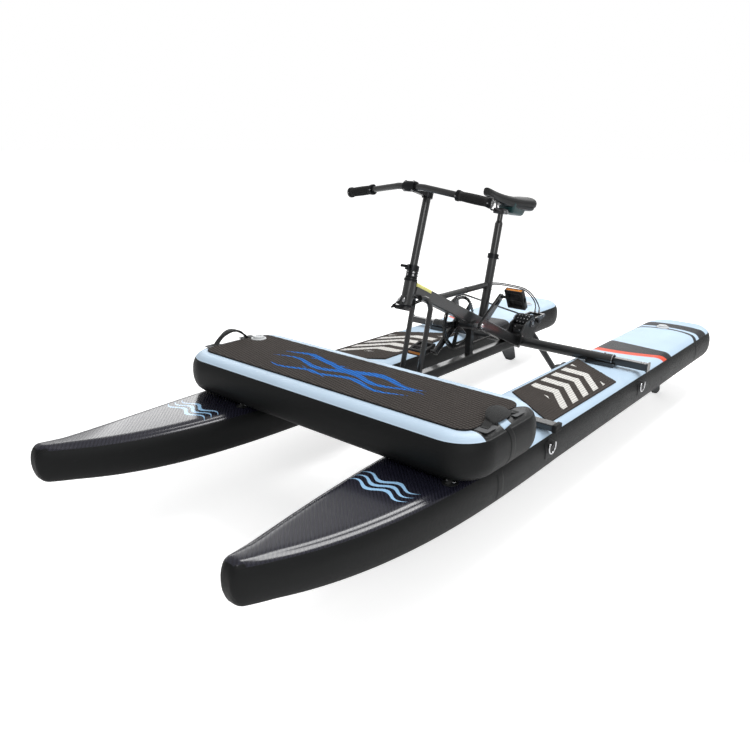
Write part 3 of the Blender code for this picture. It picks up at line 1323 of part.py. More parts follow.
def foot_cutter():
    centre = DRIVE_CENTRE + LEG_RUN * PROPELLER_DEPTH
    return cylinder_data(centre - PROP_RUN * 0.1, centre + PROP_RUN * 0.1, FOOT_RADIUS + GAP, 32)


def make_leg_foot():
    """The bevel gear's housing at the foot of the leg, a streamlined pod along the propeller's axis."""
    centre = DRIVE_CENTRE + LEG_RUN * PROPELLER_DEPTH
    front = -FOOT_LENGTH * 0.52
    back = FOOT_LENGTH * 0.48
    bore = PROP_SHAFT_RADIUS + TURNING_GAP
    profile = [(0, back - PROP_SHAFT_LENGTH - GAP), (bore, back - PROP_SHAFT_LENGTH - GAP), (bore, back)]
    profile += [(FOOT_RADIUS * 0.75, back), (FOOT_RADIUS * 0.93, back * 0.62), (FOOT_RADIUS, back * 0.2)]
    profile += [(FOOT_RADIUS, front * 0.25)]
    profile += [(FOOT_RADIUS * math.cos(a), front * (0.25 + 0.75 * math.sin(a))) for a in (0.4, 0.8, 1.15, 1.4)]
    profile.append((0, front))
    turned_part("leg_foot", profile, "alloy_black", centre, PROP_RUN)


def blade_rings(turn):
    """Sections of one blade from the hub to its rounded tip, twisted for an even pitch."""
    rings = []
    for share in (0.0, 0.2, 0.4, 0.6, 0.8, 0.93, 1.0):
        radius = PROP_HUB_RADIUS * 0.7 + (PROP_RADIUS - PROP_HUB_RADIUS * 0.7) * share
        chord = BLADE_CHORD * (0.45 + 1.9 * share * (1 - share) + 0.10 * share) * (0.7 if share > 0.95 else 1.0)
        thick = BLADE_THICKNESS * (1 - 0.7 * share)
        pitch = math.atan2(BLADE_PITCH, 2 * math.pi * max(radius, 0.03))
        ring = []
        for across, height in ((-0.5, 0), (-0.2, 0.5), (0.2, 0.5), (0.5, 0), (0.2, -0.5), (-0.2, -0.5)):
            u, w = across * chord, height * thick
            along = u * math.sin(pitch) + w * math.cos(pitch)
            sway = u * math.cos(pitch) - w * math.sin(pitch)
            ring.append(turn @ Vector((radius, sway, along)))
        rings.append(ring)
    return rings


def make_propeller():
    foot = DRIVE_CENTRE + LEG_RUN * PROPELLER_DEPTH
    start = FOOT_LENGTH * 0.48 + TURNING_GAP
    end = start + PROP_HUB_LENGTH
    profile = [(0, end), (PROP_HUB_RADIUS * 0.45, end - 0.002), (PROP_HUB_RADIUS * 0.85, end - 0.014)]
    profile += [(PROP_HUB_RADIUS, end - 0.024), (PROP_HUB_RADIUS, start), (PROP_SHAFT_RADIUS, start)]
    tail = start - TURNING_GAP - PROP_SHAFT_LENGTH
    profile += [(PROP_SHAFT_RADIUS, tail), (0, tail)]
    part = turned_part("propeller", profile, "plastic", foot, PROP_RUN)
    centre = foot + PROP_RUN * (start + PROP_HUB_LENGTH * 0.42)
    for blade in range(BLADE_COUNT):
        turn = axis_matrix(centre, PROP_RUN, PROP_REST_TURN + 2 * math.pi * blade / BLADE_COUNT)
        data = loft_data(blade_rings(turn))
        data.transform(part.matrix_world.inverted())
        combine(part, data, "UNION").modifiers[-1].object.matrix_world = part.matrix_world


# Cables

def smooth_route(points, spacing):
    """Points at an even spacing on a Catmull-Rom curve through the given ones."""
    controls = [points[0] * 2 - points[1], *points, points[-1] * 2 - points[-2]]
    dense = []
    for i in range(1, len(controls) - 2):
        a, b, c, d = controls[i - 1:i + 3]
        for step in range(24):
            t = step / 24
            dense.append(
                0.5 * ((2 * b) + (c - a) * t + (2 * a - 5 * b + 4 * c - d) * t * t
                       + (3 * b - a - 3 * c + d) * t ** 3)
            )
    dense.append(points[-1])
    lengths = [0.0]
    for near, far in zip(dense, dense[1:]):
        lengths.append(lengths[-1] + (far - near).length)
    count = max(2, round(lengths[-1] / spacing))
    route, index = [], 0
    for step in range(count + 1):
        target = lengths[-1] * step / count
        while index < len(lengths) - 2 and lengths[index + 1] < target:
            index += 1
        share = (target - lengths[index]) / (lengths[index + 1] - lengths[index])
        route.append(dense[index].lerp(dense[index + 1], share))
    return route


def make_cables():
    """Two cables run from behind the tiller along the frame's starboard side and arch over to the drive bracket."""
    beside_beam = -(BEAM_WIDTH / 2 + CABLE_RADIUS + 2 * GAP)
    beside_tube = -(SEAT_TUBE_RADIUS + CABLE_RADIUS + 2 * GAP)
    for number in range(2):
        lift = number * CABLE_SPACING
        stop_x = (2 * number - 1) * CABLE_STOP_X
        sides = [beside_beam] * 4 + [CABLE_CROSSING_X, beside_tube, beside_tube, beside_tube]
        sides += [beside_tube * 0.5, stop_x * 0.18, stop_x * 0.32]
        points = [Vector((x, y, z + lift)) for x, (y, z) in zip(sides, CABLE_ROUTE)]
        points += [
            Vector((stop_x * 0.7, CABLE_STOP_Y - 0.007, CABLE_STOP_Z + 0.040)),
            Vector((stop_x, CABLE_STOP_Y, CABLE_STOP_Z + 0.018)), Vector((stop_x, CABLE_STOP_Y, CABLE_STOP_Z + 2 * GAP)),
        ]
        route = [tuple(p) for p in smooth_route(points, CABLE_STEP)]
        new_part(f"steering_cable_{number + 1}", curve_data(route, CABLE_RADIUS, 1), "rubber")


def hang_on(name, point, pieces):
    """Parents the pieces that move together to an empty on the axis that they move about or along."""
    pivot = bpy.data.objects.new(name, None)
    pivot.location = point
    PARTS.objects.link(pivot)
    for piece in pieces:
        item = bpy.data.objects[piece]
        item.parent = pivot
        item.matrix_parent_inverse = Matrix.Translation(-point)


clear_scene()
PARTS = new_collection("water_bike")
TOOLS = new_collection("cutters")
make_hulls()
make_fins()
make_deck_pads()
make_hull_valves()
make_d_rings()
make_bench()
make_bench_pad()
make_bench_risers()
make_bench_handles()
make_front_crossbar()
make_rear_crossbar()
make_crossbar_ends()
make_main_beam()
make_head_tube()
make_seat_tube()
make_top_tube()
make_front_legs()
make_keel_rail()
make_centre_strut()
make_steerer()
make_column_clamp()
make_column()
make_stem()
make_handlebar()
make_grips()
make_seatpost()
make_seat_clamp()
make_saddle()
make_saddle_rails()
make_spindle()
make_cranks()
make_pedals()
make_chainring()
make_chain()
make_sprocket()
make_drive_bracket()
make_gearbox()
make_drive_leg()
make_leg_foot()
make_propeller()
make_cables()
hang_on("steering_axis", HEAD_BASE, ("steerer", "column_collar"))
hang_on("bar_slide", HEAD_BASE, ("handlebar_column", "stem", "handlebar", "port_grip", "starboard_grip"))
hang_on("seat_slide", seat_tube_foot(), ("seatpost", "saddle", "saddle_rails"))
hang_on("leg_axis", DRIVE_CENTRE, ("drive_leg", "leg_foot"))
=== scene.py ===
"""Water bike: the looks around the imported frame. Bow towards -Y, port side towards +X, metres."""
from math import acos, atan, atan2, copysign, cos, degrees as to_degrees, exp, hypot, pi, radians, sin, sqrt

import bmesh
import bpy
from mathutils import Matrix, Vector


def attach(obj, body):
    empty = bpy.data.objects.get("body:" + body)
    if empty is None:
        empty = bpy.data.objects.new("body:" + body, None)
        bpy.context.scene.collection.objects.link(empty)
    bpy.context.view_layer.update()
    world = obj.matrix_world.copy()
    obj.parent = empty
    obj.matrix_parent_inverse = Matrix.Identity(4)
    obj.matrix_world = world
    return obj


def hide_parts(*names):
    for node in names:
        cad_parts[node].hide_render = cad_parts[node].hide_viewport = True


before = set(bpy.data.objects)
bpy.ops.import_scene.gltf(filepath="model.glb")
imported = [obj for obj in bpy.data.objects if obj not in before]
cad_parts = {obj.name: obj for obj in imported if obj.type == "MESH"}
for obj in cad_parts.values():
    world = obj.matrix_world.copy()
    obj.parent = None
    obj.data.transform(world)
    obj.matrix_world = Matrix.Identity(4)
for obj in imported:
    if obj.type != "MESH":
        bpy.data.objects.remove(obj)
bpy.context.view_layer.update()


# Studio: a white floor under a white sky. A lamp above the sterns draws the bright lines along the bows' shoulders,
# two low softboxes off the starboard side are mirrored by the far bow, a fill lamp stands at the port bow, and a
# wide wall of light behind the boat shows in the glossy parts. The camera stands off the port bow, over the saddle.
CAMERA_PLACE = Vector((1.4823, -2.3108, 1.21))
CAMERA_TURN = radians(39.98)
CAMERA_DIP = radians(18.1)
CAMERA_ROLL = radians(0.886)
CAMERA_SHIFT = (0.0041, -0.0064)
LENS = 33.6

back = Vector((
    sin(CAMERA_TURN) * cos(CAMERA_DIP), -cos(CAMERA_TURN) * cos(CAMERA_DIP), sin(CAMERA_DIP)
))
level = Vector((cos(CAMERA_TURN), sin(CAMERA_TURN), 0))
upright = back.cross(level)
across = level * cos(CAMERA_ROLL) + upright * sin(CAMERA_ROLL)
upright = back.cross(across)
camera = bpy.data.objects.new("camera", bpy.data.cameras.new("camera"))
bpy.context.scene.collection.objects.link(camera)
camera.matrix_world = Matrix.Translation(CAMERA_PLACE) @ Matrix((across, upright, back)).transposed().to_4x4()
camera.data.lens = LENS
camera.data.shift_x, camera.data.shift_y = CAMERA_SHIFT
bpy.context.scene.camera = camera
bpy.context.scene.view_settings.view_transform = "Standard"

SKY_LIGHT = 0.56
FLOOR_GLOW = 0.58
world = bpy.data.worlds.new("white_studio")
world.use_nodes = True
bpy.context.scene.world = world
tree = world.node_tree
tree.nodes.clear()
ray = tree.nodes.new("ShaderNodeLightPath")
either = tree.nodes.new("ShaderNodeMath")
either.operation = "MAXIMUM"
tree.links.new(ray.outputs["Is Camera Ray"], either.inputs[0])
tree.links.new(ray.outputs["Is Transmission Ray"], either.inputs[1])
mix = tree.nodes.new("ShaderNodeMixShader")
tree.links.new(either.outputs[0], mix.inputs["Fac"])
for socket, strength in ((1, SKY_LIGHT), (2, 1.0)):
    sky = tree.nodes.new("ShaderNodeBackground")
    sky.inputs["Color"].default_value = (1, 1, 1, 1)
    sky.inputs["Strength"].default_value = strength
    tree.links.new(sky.outputs[0], mix.inputs[socket])
tree.links.new(mix.outputs[0], tree.nodes.new("ShaderNodeOutputWorld").inputs["Surface"])

for name, place, aim, size, power in (
    ("overhead_lamp", (0.45, 1.45, 3.6), (0.2, -0.5, 0.3), (1.5, 2.2), 100.0),
    ("low_softbox", (-3.9, 1.15, 1.80), (-0.42, -1.1, 0.35), (0.85, 1.0), 7.5),
    ("low_softbox_front", (-3.9, 0.42, 1.80), (-0.42, -1.1, 0.35), (0.70, 1.0), 2.0),
    ("bow_fill", (2.9, -2.6, 2.3), (0.1, -0.2, 0.5), (1.6, 1.6), 31.0),
    ("back_wall", (-3.6, 4.8, 2.1), (0, 0, 0.45), (6.0, 1.7), 45.0),
):
    lamp = bpy.data.objects.new(name, bpy.data.lights.new(name, "AREA"))
    bpy.context.scene.collection.objects.link(lamp)
    lamp.data.shape = "RECTANGLE"
    lamp.data.size, lamp.data.size_y = size
    lamp.data.energy = power
    lamp.visible_camera = False
    lamp.location = place
    lamp.rotation_euler = (Vector(aim) - Vector(place)).to_track_quat("-Z", "Y").to_euler()

bpy.ops.object.select_all(action="DESELECT")
bpy.ops.mesh.primitive_plane_add(size=120)
floor = bpy.context.object
floor.name = "floor"
white = bpy.data.materials.new("white_floor")
white.use_nodes = True
tree = white.node_tree
shader = tree.nodes["Principled BSDF"]
shader.inputs["Base Color"].default_value = (0.97, 0.97, 0.97, 1)
shader.inputs["Roughness"].default_value = 0.9
shader.inputs["Emission Color"].default_value = (1, 1, 1, 1)
ray = tree.nodes.new("ShaderNodeLightPath")
glow = tree.nodes.new("ShaderNodeMath")
glow.operation = "MULTIPLY"
glow.inputs[1].default_value = FLOOR_GLOW
tree.links.new(ray.outputs["Is Camera Ray"], glow.inputs[0])
tree.links.new(glow.outputs[0], shader.inputs["Emission Strength"])
floor.data.materials.append(white)


# Hulls: two drop-stitch boards of coated fabric. A charcoal band is glued round the side of each, over the
# pale deck sheet, and a glossy twill sheet covers the bow. Each is one skin, with the band's edge as a real step.
HULL_LENGTH, HULL_WIDTH, HULL_THICKNESS = 3.07, 0.340, 0.140
HULL_X = 0.4215
HULL_BOTTOM = 0.188
DECK = HULL_BOTTOM + HULL_THICKNESS
RAIL_DEPTH, RAIL_POWER, END_DEPTH = 0.055, 2.4, 0.034
BOW_TIP, STERN = -HULL_LENGTH / 2, HULL_LENGTH / 2
BOW_LENGTH, BOW_POWER = 1.28, 3.2
BOW_SPLAY, BOW_SPLAY_POWER = 0.014, 0.8
NOSE_WIDTH, NOSE_LENGTH = 0.060, 0.050
BOW_RISE, BOW_RISE_POWER = 0.0435, 5.5
KEEL_RISE, KEEL_RISE_POWER = 0.067, 4.8
STERN_LENGTH, STERN_POWER = 0.170, 2.6
BAND_EDGE = 46.6            # degrees round the side at which the charcoal band starts
BAND_THICKNESS = 0.0008
NOSE_BAND_DROP = 0.013      # from the deck down to the band on the blunt ends
VALLEY_DEPTH, VALLEY_MIDDLE, VALLEY_WIDTH = 0.0022, 64.0, 11.0   # the crease inside each bow shoulder
TWILL_END = -0.60
SIDE_ANGLES = [90, 84, 78, 72, 68, 64, 60, 55, 50, BAND_EDGE + 0.3, BAND_EDGE - 0.3, 40, 32, 24, 16, 8]
PORT, STARBOARD = 1, -1
SIDES = (("port", PORT), ("starboard", STARBOARD))


def calc(operation, *values):
    """A maths node, in the tree that its linked values belong to."""
    tree = next(value for value in values if not isinstance(value, (int, float))).id_data
    made = tree.nodes.new("ShaderNodeMath")
    made.operation = operation
    for socket, value in zip(made.inputs, values):
        if isinstance(value, (int, float)):
            socket.default_value = value
        else:
            tree.links.new(value, socket)
    return made.outputs[0]


def between(value, low, high):
    """1 where the value lies between two others."""
    return calc("MULTIPLY", calc("GREATER_THAN", value, low), calc("LESS_THAN", value, high))


def new_group(name, inputs, outputs):
    group = bpy.data.node_groups.new(name, "ShaderNodeTree")
    for label, kind, value in inputs:
        socket = group.interface.new_socket(label, in_out="INPUT", socket_type=f"NodeSocket{kind}")
        if value is not None:
            socket.default_value = value
    for label in outputs:
        group.interface.new_socket(label, in_out="OUTPUT", socket_type="NodeSocketFloat")
    return group, group.nodes.new("NodeGroupInput").outputs, group.nodes.new("NodeGroupOutput").inputs


def noise(vector, scale, detail, roughness=0.55):
    tree = vector.id_data
    made = tree.nodes.new("ShaderNodeTexNoise")
    made.inputs["Detail"].default_value = detail
    made.inputs["Roughness"].default_value = roughness
    tree.links.new(vector, made.inputs["Vector"])
    if isinstance(scale, (int, float)):
        made.inputs["Scale"].default_value = scale
    else:
        tree.links.new(scale, made.inputs["Scale"])
    return made.outputs["Fac"]


def axes_of(vector):
    made = vector.id_data.nodes.new("ShaderNodeSeparateXYZ")
    vector.id_data.links.new(vector, made.inputs[0])
    return made.outputs[0], made.outputs[1], made.outputs[2]


# Handling marks: broad cloudy patches, fine specks and the small bumps of a coating
marks, given, made = new_group("handling_marks", [
    ("Vector", "Vector", None), ("Patches per metre", "Float", 6.0), ("Specks per metre", "Float", 900.0),
], ["Patches", "Specks", "Scuffs"])
marks.links.new(noise(given["Vector"], given["Patches per metre"], 4.0), made["Patches"])
marks.links.new(noise(given["Vector"], given["Specks per metre"], 2.0), made["Specks"])
streak = marks.nodes.new("ShaderNodeMapping")
streak.inputs["Scale"].default_value = (9.0, 1.3, 9.0)
streak.inputs["Rotation"].default_value = (0.2, 0.1, 0.35)
marks.links.new(given["Vector"], streak.inputs["Vector"])
scuffs = noise(streak.outputs[0], 14.0, 8.0, 0.7)
scuffs = calc("MAXIMUM", calc("SUBTRACT", scuffs, 0.60), 0.0)
marks.links.new(calc("SMOOTH_MIN", calc("MULTIPLY", scuffs, 6.0), 1.0, 0.1), made["Scuffs"])

# Base cloth: the fine square weave that prints through a coated fabric
cloth, given, made = new_group("base_cloth", [("Vector", "Vector", None), ("Pitch", "Float", 0.0016)], ["Height"])
waves = [calc("SINE", calc("MULTIPLY", calc("DIVIDE", a, given["Pitch"]), 2 * pi)) for a in axes_of(given["Vector"])]
cloth.links.new(calc("ADD", calc("ADD", waves[0], waves[1]), waves[2]), made["Height"])

# Twill: bundles of fibre that pass over two and under two, each row one step on
twill, given, made = new_group("twill", [("Vector", "Vector", None), ("Bundle", "Float", 0.0034)], ["Over", "Height"])
along = [calc("DIVIDE", axis, given["Bundle"]) for axis in axes_of(given["Vector"])[:2]]
step = calc("ADD", calc("FLOOR", along[0]), calc("FLOOR", along[1]))
over = calc("LESS_THAN", calc("FLOORED_MODULO", step, 4.0), 1.5)
crowns = [calc("SINE", calc("MULTIPLY", calc("FRACT", a), pi)) for a in along]
crown = calc("ADD", calc("MULTIPLY", crowns[0], over), calc("MULTIPLY", crowns[1], calc("SUBTRACT", 1.0, over)))
twill.links.new(over, made["Over"])
twill.links.new(crown, made["Height"])


class Finish:
    """A material in the making: one Principled shader that reads the piece's Object coordinates."""

    def __init__(self, name, roughness, metallic=0.0, **plain):
        self.material = bpy.data.materials.new(name)
        self.material.use_nodes = True
        self.tree = self.material.node_tree
        self.shader = self.tree.nodes["Principled BSDF"]
        self.shader.inputs["Metallic"].default_value = metallic
        self.shader.inputs["Roughness"].default_value = roughness
        for label, value in plain.items():
            self.shader.inputs[label.replace("_", " ")].default_value = value
        self.place = self.tree.nodes.new("ShaderNodeTexCoord").outputs["Object"]
        self.x, self.y, self.z = axes_of(self.place)

    def group(self, kind, vector=None, **values):
        made = self.tree.nodes.new("ShaderNodeGroup")
        made.node_tree = kind
        self.tree.links.new(vector or self.place, made.inputs["Vector"])
        for label, value in values.items():
            made.inputs[label.replace("_", " ")].default_value = value
        return made.outputs

    def marked(self, patches, specks):
        """The handling marks, with so many patches and specks to the metre."""
        return self.group(marks, Patches_per_metre=patches, Specks_per_metre=specks)

    def tint(self, factor, first, second):
        """A colour between two, each a colour or the output of an earlier tint."""
        made = self.tree.nodes.new("ShaderNodeMix")
        made.data_type = "RGBA"
        for index, value in ((0, factor), (6, first), (7, second)):
            if isinstance(value, tuple):
                made.inputs[index].default_value = (*value, 1.0)
            elif isinstance(value, (int, float)):
                made.inputs[index].default_value = value
            else:
                self.tree.links.new(value, made.inputs[index])
        return made.outputs[2]

    def range(self, value, low, high):
        """Spreads a 0 to 1 value over another range."""
        return calc("MULTIPLY_ADD", value, high - low, low)

    def bump(self, height, depth, after=None):
        made = self.tree.nodes.new("ShaderNodeBump")
        made.inputs["Distance"].default_value = depth
        made.inputs["Strength"].default_value = 1.0
        self.tree.links.new(height, made.inputs["Height"])
        if after:
            self.tree.links.new(after, made.inputs["Normal"])
        return made.outputs[0]

    def done(self, colour, roughness=None, normal=None):
        for label, value in (("Base Color", colour), ("Roughness", roughness), ("Normal", normal)):
            if value is not None:
                self.tree.links.new(value, self.shader.inputs[label])
        return self.material


def coated_cloth(name, colour, worn, roughness, gloss=0.5):
    """Coated boat fabric: a flat colour with cloudy patches and pale scuffs over the print of its weave."""
    finish = Finish(name, roughness, Specular_IOR_Level=gloss)
    worked = finish.marked(5.0, 700.0)
    dark = tuple(c * 0.86 for c in colour)
    shade = finish.tint(finish.range(worked["Patches"], -0.4, 1.4), dark, colour)
    shade = finish.tint(calc("MULTIPLY", worked["Scuffs"], 0.5), shade, worn)
    rough = finish.range(worked["Patches"], roughness - 0.08, roughness + 0.10)
    grain = finish.bump(finish.group(cloth)["Height"], 0.00004)
    return finish, shade, rough, finish.bump(worked["Specks"], 0.00025, grain)


finish, shade, rough, normal = coated_cloth(
    "charcoal_band", (0.0060, 0.0066, 0.0070), (0.020, 0.021, 0.021), 0.44, 0.20
)
charcoal_band = finish.done(shade, rough, normal)
finish, shade, rough, normal = coated_cloth("pale_deck_sheet", (0.56, 0.72, 0.88), (0.74, 0.83, 0.92), 0.38, 0.30)
BLACK_INK, ORANGE_INK = (0.012, 0.013, 0.017), (0.80, 0.085, 0.035)
STRIPE_Y, STRIPE_SLANT, STRIPE_CURVE = 0.699, 0.23, 0.9      # the line across the deck that the stripe follows
STRIPE_START, STRIPE_END = -0.004, 0.042                      # of the orange stripe, behind that line
SLAB_END_Y, SLAB_END_SLANT = 0.875, -0.12                     # of the black field behind the stripe
RIPPLE_Y = 1.115
OUTER_RIPPLE, INNER_RIPPLE = (0.215, 0.300), (0.168, 0.188)
from_middle = calc("SUBTRACT", calc("ABSOLUTE", finish.x), HULL_X)
curve = calc("MULTIPLY", calc("MULTIPLY", from_middle, from_middle), STRIPE_CURVE)
bend = calc("ADD", calc("MULTIPLY_ADD", from_middle, STRIPE_SLANT, STRIPE_Y), curve)
ahead = calc("SUBTRACT", finish.y, bend)
stripe = between(ahead, STRIPE_START, STRIPE_END)
slab_end = calc("LESS_THAN", finish.y, calc("MULTIPLY_ADD", from_middle, SLAB_END_SLANT, SLAB_END_Y))
slab = calc("MULTIPLY", calc("GREATER_THAN", ahead, STRIPE_END), slab_end)
ripple_y = calc("SUBTRACT", finish.y, RIPPLE_Y)
ripple = calc("SQRT", calc("ADD", calc("MULTIPLY", ripple_y, ripple_y), calc("MULTIPLY", from_middle, from_middle)))
rings = calc("ADD", between(ripple, *OUTER_RIPPLE), between(ripple, *INNER_RIPPLE))
behind, to_port = calc("GREATER_THAN", ripple_y, 0.0), calc("GREATER_THAN", finish.x, 0.0)
rings = calc("MULTIPLY", rings, calc("MULTIPLY", behind, to_port))
ink = calc("MINIMUM", calc("ADD", slab, rings), 1.0)
shade = finish.tint(ink, shade, BLACK_INK)
shade = finish.tint(stripe, shade, ORANGE_INK)
pale_deck_sheet = finish.done(shade, rough, normal)

finish = Finish("navy_twill_sheet", 0.30, Coat_Weight=0.60, Coat_Roughness=0.14, Specular_IOR_Level=0.20)
weave = finish.group(twill)
worked = finish.marked(4.0, 500.0)
shade = finish.tint(weave["Over"], (0.0085, 0.0085, 0.0140), (0.0150, 0.0150, 0.0250))
shade = finish.tint(calc("MULTIPLY", worked["Patches"], 0.5), shade, (0.012, 0.012, 0.026))
MOTIF_BLUE = (0.36, 0.62, 0.90)
MOTIF_HALF, MOTIF_THICKNESS, MOTIF_SWING, MOTIF_RATE = 0.105, 0.0075, 0.012, 62.0


def wave(x, y, middle, half_length, thickness, swing, rate, phase=0.0):
    """1 on a line that swings about the middle and tapers to its ends."""
    share = calc("DIVIDE", x, half_length)
    taper = calc("MAXIMUM", calc("SUBTRACT", 1.0, calc("MULTIPLY", share, share)), 0.0)
    swung = calc("MULTIPLY", calc("SINE", calc("MULTIPLY_ADD", x, rate, phase)), swing)
    gap = calc("ABSOLUTE", calc("SUBTRACT", calc("SUBTRACT", y, middle), swung))
    return calc("LESS_THAN", gap, calc("MULTIPLY", taper, thickness))


from_middle = calc("SUBTRACT", calc("ABSOLUTE", finish.x), HULL_X)
motif = None
for middle in (-1.020, -0.992, -0.964):
    line = wave(from_middle, finish.y, middle, MOTIF_HALF, MOTIF_THICKNESS, MOTIF_SWING, MOTIF_RATE)
    motif = calc("MAXIMUM", motif, line) if motif else line
shade = finish.tint(motif, shade, MOTIF_BLUE)
rough = finish.range(weave["Over"], 0.22, 0.34)
normal = finish.bump(worked["Patches"], 0.0012, finish.bump(weave["Height"], 0.00004))
navy_twill_sheet = finish.done(shade, rough, normal)


def hull_ring(side, y):
    """Points round the hull at this station, from the deck round by the outer side."""
    taper = max(0.0, 1 - (y - BOW_TIP) / BOW_LENGTH)
    half = NOSE_WIDTH / 2 + (HULL_WIDTH - NOSE_WIDTH) / 2 * (1 - taper ** BOW_POWER)
    nose = 1 - (y - BOW_TIP) / NOSE_LENGTH
    if nose > 0:
        half -= NOSE_WIDTH * 0.3 * (1 - sqrt(1 - nose * nose))
    stern = 1 - (STERN - y) / STERN_LENGTH
    if stern > 0:
        half *= (1 - stern ** STERN_POWER) ** (1 / STERN_POWER)
    top = DECK + BOW_RISE * taper ** BOW_RISE_POWER
    bottom = HULL_BOTTOM + KEEL_RISE * taper ** KEEL_RISE_POWER
    rail = min(RAIL_DEPTH, 0.85 * half)
    end = min(y - BOW_TIP, STERN - y) / END_DEPTH
    cap = (1 - (1 - end) ** RAIL_POWER) ** (1 / RAIL_POWER) if end < 1 else 1.0
    centre = side * (HULL_X + BOW_SPLAY * taper ** BOW_SPLAY_POWER)
    crease = VALLEY_DEPTH * min(1.0, taper * 3) * min(1.0, (y - BOW_TIP) / 0.15)
    quarter = []
    for degrees in SIDE_ANGLES + [0] + [-a for a in reversed(SIDE_ANGLES)]:
        angle = radians(degrees)
        reach = half - rail + rail * abs(cos(angle)) ** (2 / RAIL_POWER)
        lift = abs(sin(angle)) ** (2 / RAIL_POWER) * (top - bottom) / 2 * cap
        if abs(degrees) < BAND_EDGE:
            reach += BAND_THICKNESS * cos(angle)
            lift += BAND_THICKNESS * abs(sin(angle))
        if degrees > BAND_EDGE:
            lift -= crease * exp(-((degrees - VALLEY_MIDDLE) / VALLEY_WIDTH) ** 2 * 2)
        quarter.append((reach, copysign(lift, degrees)))
    middle = (top + bottom) / 2
    ring = [(centre + side * reach, y, middle + lift) for reach, lift in quarter]
    return ring + [(centre - side * reach, y, middle + lift) for reach, lift in reversed(quarter)]


def mode(name):
    bpy.ops.object.mode_set(mode=name)


def select(action):
    bpy.ops.mesh.select_all(action=action)


def skin_over(name, rings, weld=True):
    """A grid rolled into a skin through rings of points. Welding closes its seam and fills its ends."""
    columns = len(rings[0])
    bpy.ops.object.select_all(action="DESELECT")
    bpy.ops.mesh.primitive_grid_add(x_subdivisions=columns, y_subdivisions=len(rings) - 1, size=1)
    piece = bpy.context.object
    piece.name = name
    for j, ring in enumerate(rings):
        for i in range(columns + 1):
            piece.data.vertices[j * (columns + 1) + i].co = ring[i % columns]
    if weld:
        weld_skin(piece)
    return piece


def weld_skin(piece):
    mode("EDIT")
    select("SELECT")
    bpy.ops.mesh.remove_doubles(threshold=1e-7)
    bpy.ops.mesh.fill_holes(sides=0)
    select("SELECT")
    bpy.ops.mesh.normals_make_consistent(inside=False)
    mode("OBJECT")


def choose(*pieces):
    """Selects these pieces alone, with the first as the active one."""
    bpy.ops.object.select_all(action="DESELECT")
    for piece in pieces:
        piece.select_set(True)
    bpy.context.view_layer.objects.active = pieces[0]


def finished(piece, paint, body, slot, *stands_for, degrees=35.0):
    """Leaves edit mode, paints and smooths the piece, gives it its body and hides the CAD nodes that it
    stands for. Its slot is not used. A piece without a paint keeps those it has."""
    if piece.mode == "EDIT":
        mode("OBJECT")
    if paint:
        piece.data.materials.append(paint)
    choose(piece)
    bpy.ops.object.shade_smooth_by_angle(angle=radians(degrees))
    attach(piece, body)
    if stands_for:
        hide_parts(*stands_for)
    return piece


end_steps = [END_DEPTH * (1 - cos(pi / 2 * i / 9)) + 0.00003 for i in range(9)]
taper_steps = [END_DEPTH + (BOW_LENGTH - END_DEPTH) * (i / 44) ** 1.2 for i in range(45)]
stations = sorted(
    [BOW_TIP + e for e in end_steps + taper_steps] + [TWILL_END - 0.0003, TWILL_END + 0.0003]
    + [-0.20 + 0.13 * i for i in range(12)]
    + [STERN - END_DEPTH - (STERN_LENGTH - END_DEPTH) * (1 - i / 14) for i in range(15)]
    + [STERN - e for e in end_steps]
)
top_columns = SIDE_ANGLES.index(BAND_EDGE + 0.3)


def end_band_top(y):
    """How high the charcoal band reaches on the blunt ends, which it also covers."""
    if y < BOW_TIP + END_DEPTH:
        return DECK + BOW_RISE - NOSE_BAND_DROP
    return DECK - NOSE_BAND_DROP if y > STERN - END_DEPTH else 0.0


for label, side in SIDES:
    hull = skin_over(f"{label}_inflated_hull", [hull_ring(side, y) for y in stations], weld=False)
    for paint in (charcoal_band, pale_deck_sheet, navy_twill_sheet):
        hull.data.materials.append(paint)
    columns = 4 * len(SIDE_ANGLES) + 2
    for face in hull.data.polygons:
        row, column = divmod(face.index, columns)
        on_deck = column < top_columns or column >= columns - 1 - top_columns
        if on_deck and face.center.z > end_band_top(stations[row]):
            face.material_index = 2 if stations[row + 1] < TWILL_END + 0.0001 else 1
    weld_skin(hull)
    finished(hull, None, "boat", "rail_black", f"{label}_hull", degrees=50)


# Traction pads: 5 mm foam sheet, cut in slanted panels, with square grooves pressed in. They are glued on.
PAD_THICKNESS = 0.005
PAD_LIFT = 0.0003
PAD_INNER_X, PAD_WIDTH = 0.305, 0.244
PAD_FRONT_Y, PAD_REAR_Y, PAD_SLANT = -0.092, 0.475, 0.185
GROOVE_PITCH, GROOVE_HALF, GROOVE_DEPTH = 0.0122, 0.0020, 0.0013
SMALLEST_BLOCK = 0.45       # of a whole block's area, below which a block at the rim stays low
# Painted shade: the near-black colour given to the foam pads' grooves
GROOVE_PAINTED_SHADE = (0.0035, 0.0030, 0.0026)


def begin(name):
    """An empty mesh piece in edit mode, into which primitives are added."""
    piece = bpy.data.objects.new(name, bpy.data.meshes.new(name))
    bpy.context.scene.collection.objects.link(piece)
    choose(piece)
    mode("EDIT")
    return piece


def cube(place, size, rotation=(0, 0, 0)):
    bpy.ops.mesh.primitive_cube_add(size=1, location=place, rotation=rotation, scale=size)


def rounded(offset, segments):
    """Rounds every edge of the piece in edit mode."""
    select("SELECT")
    bpy.ops.mesh.bevel(offset=offset, segments=segments, affect="EDGES")


def modified(piece, kind, **values):
    """Gives the piece a modifier with these values and applies it."""
    made = piece.modifiers.new(kind.lower(), kind)
    for label, value in values.items():
        setattr(made, label, value)
    bpy.ops.object.modifier_apply(modifier=made.name)


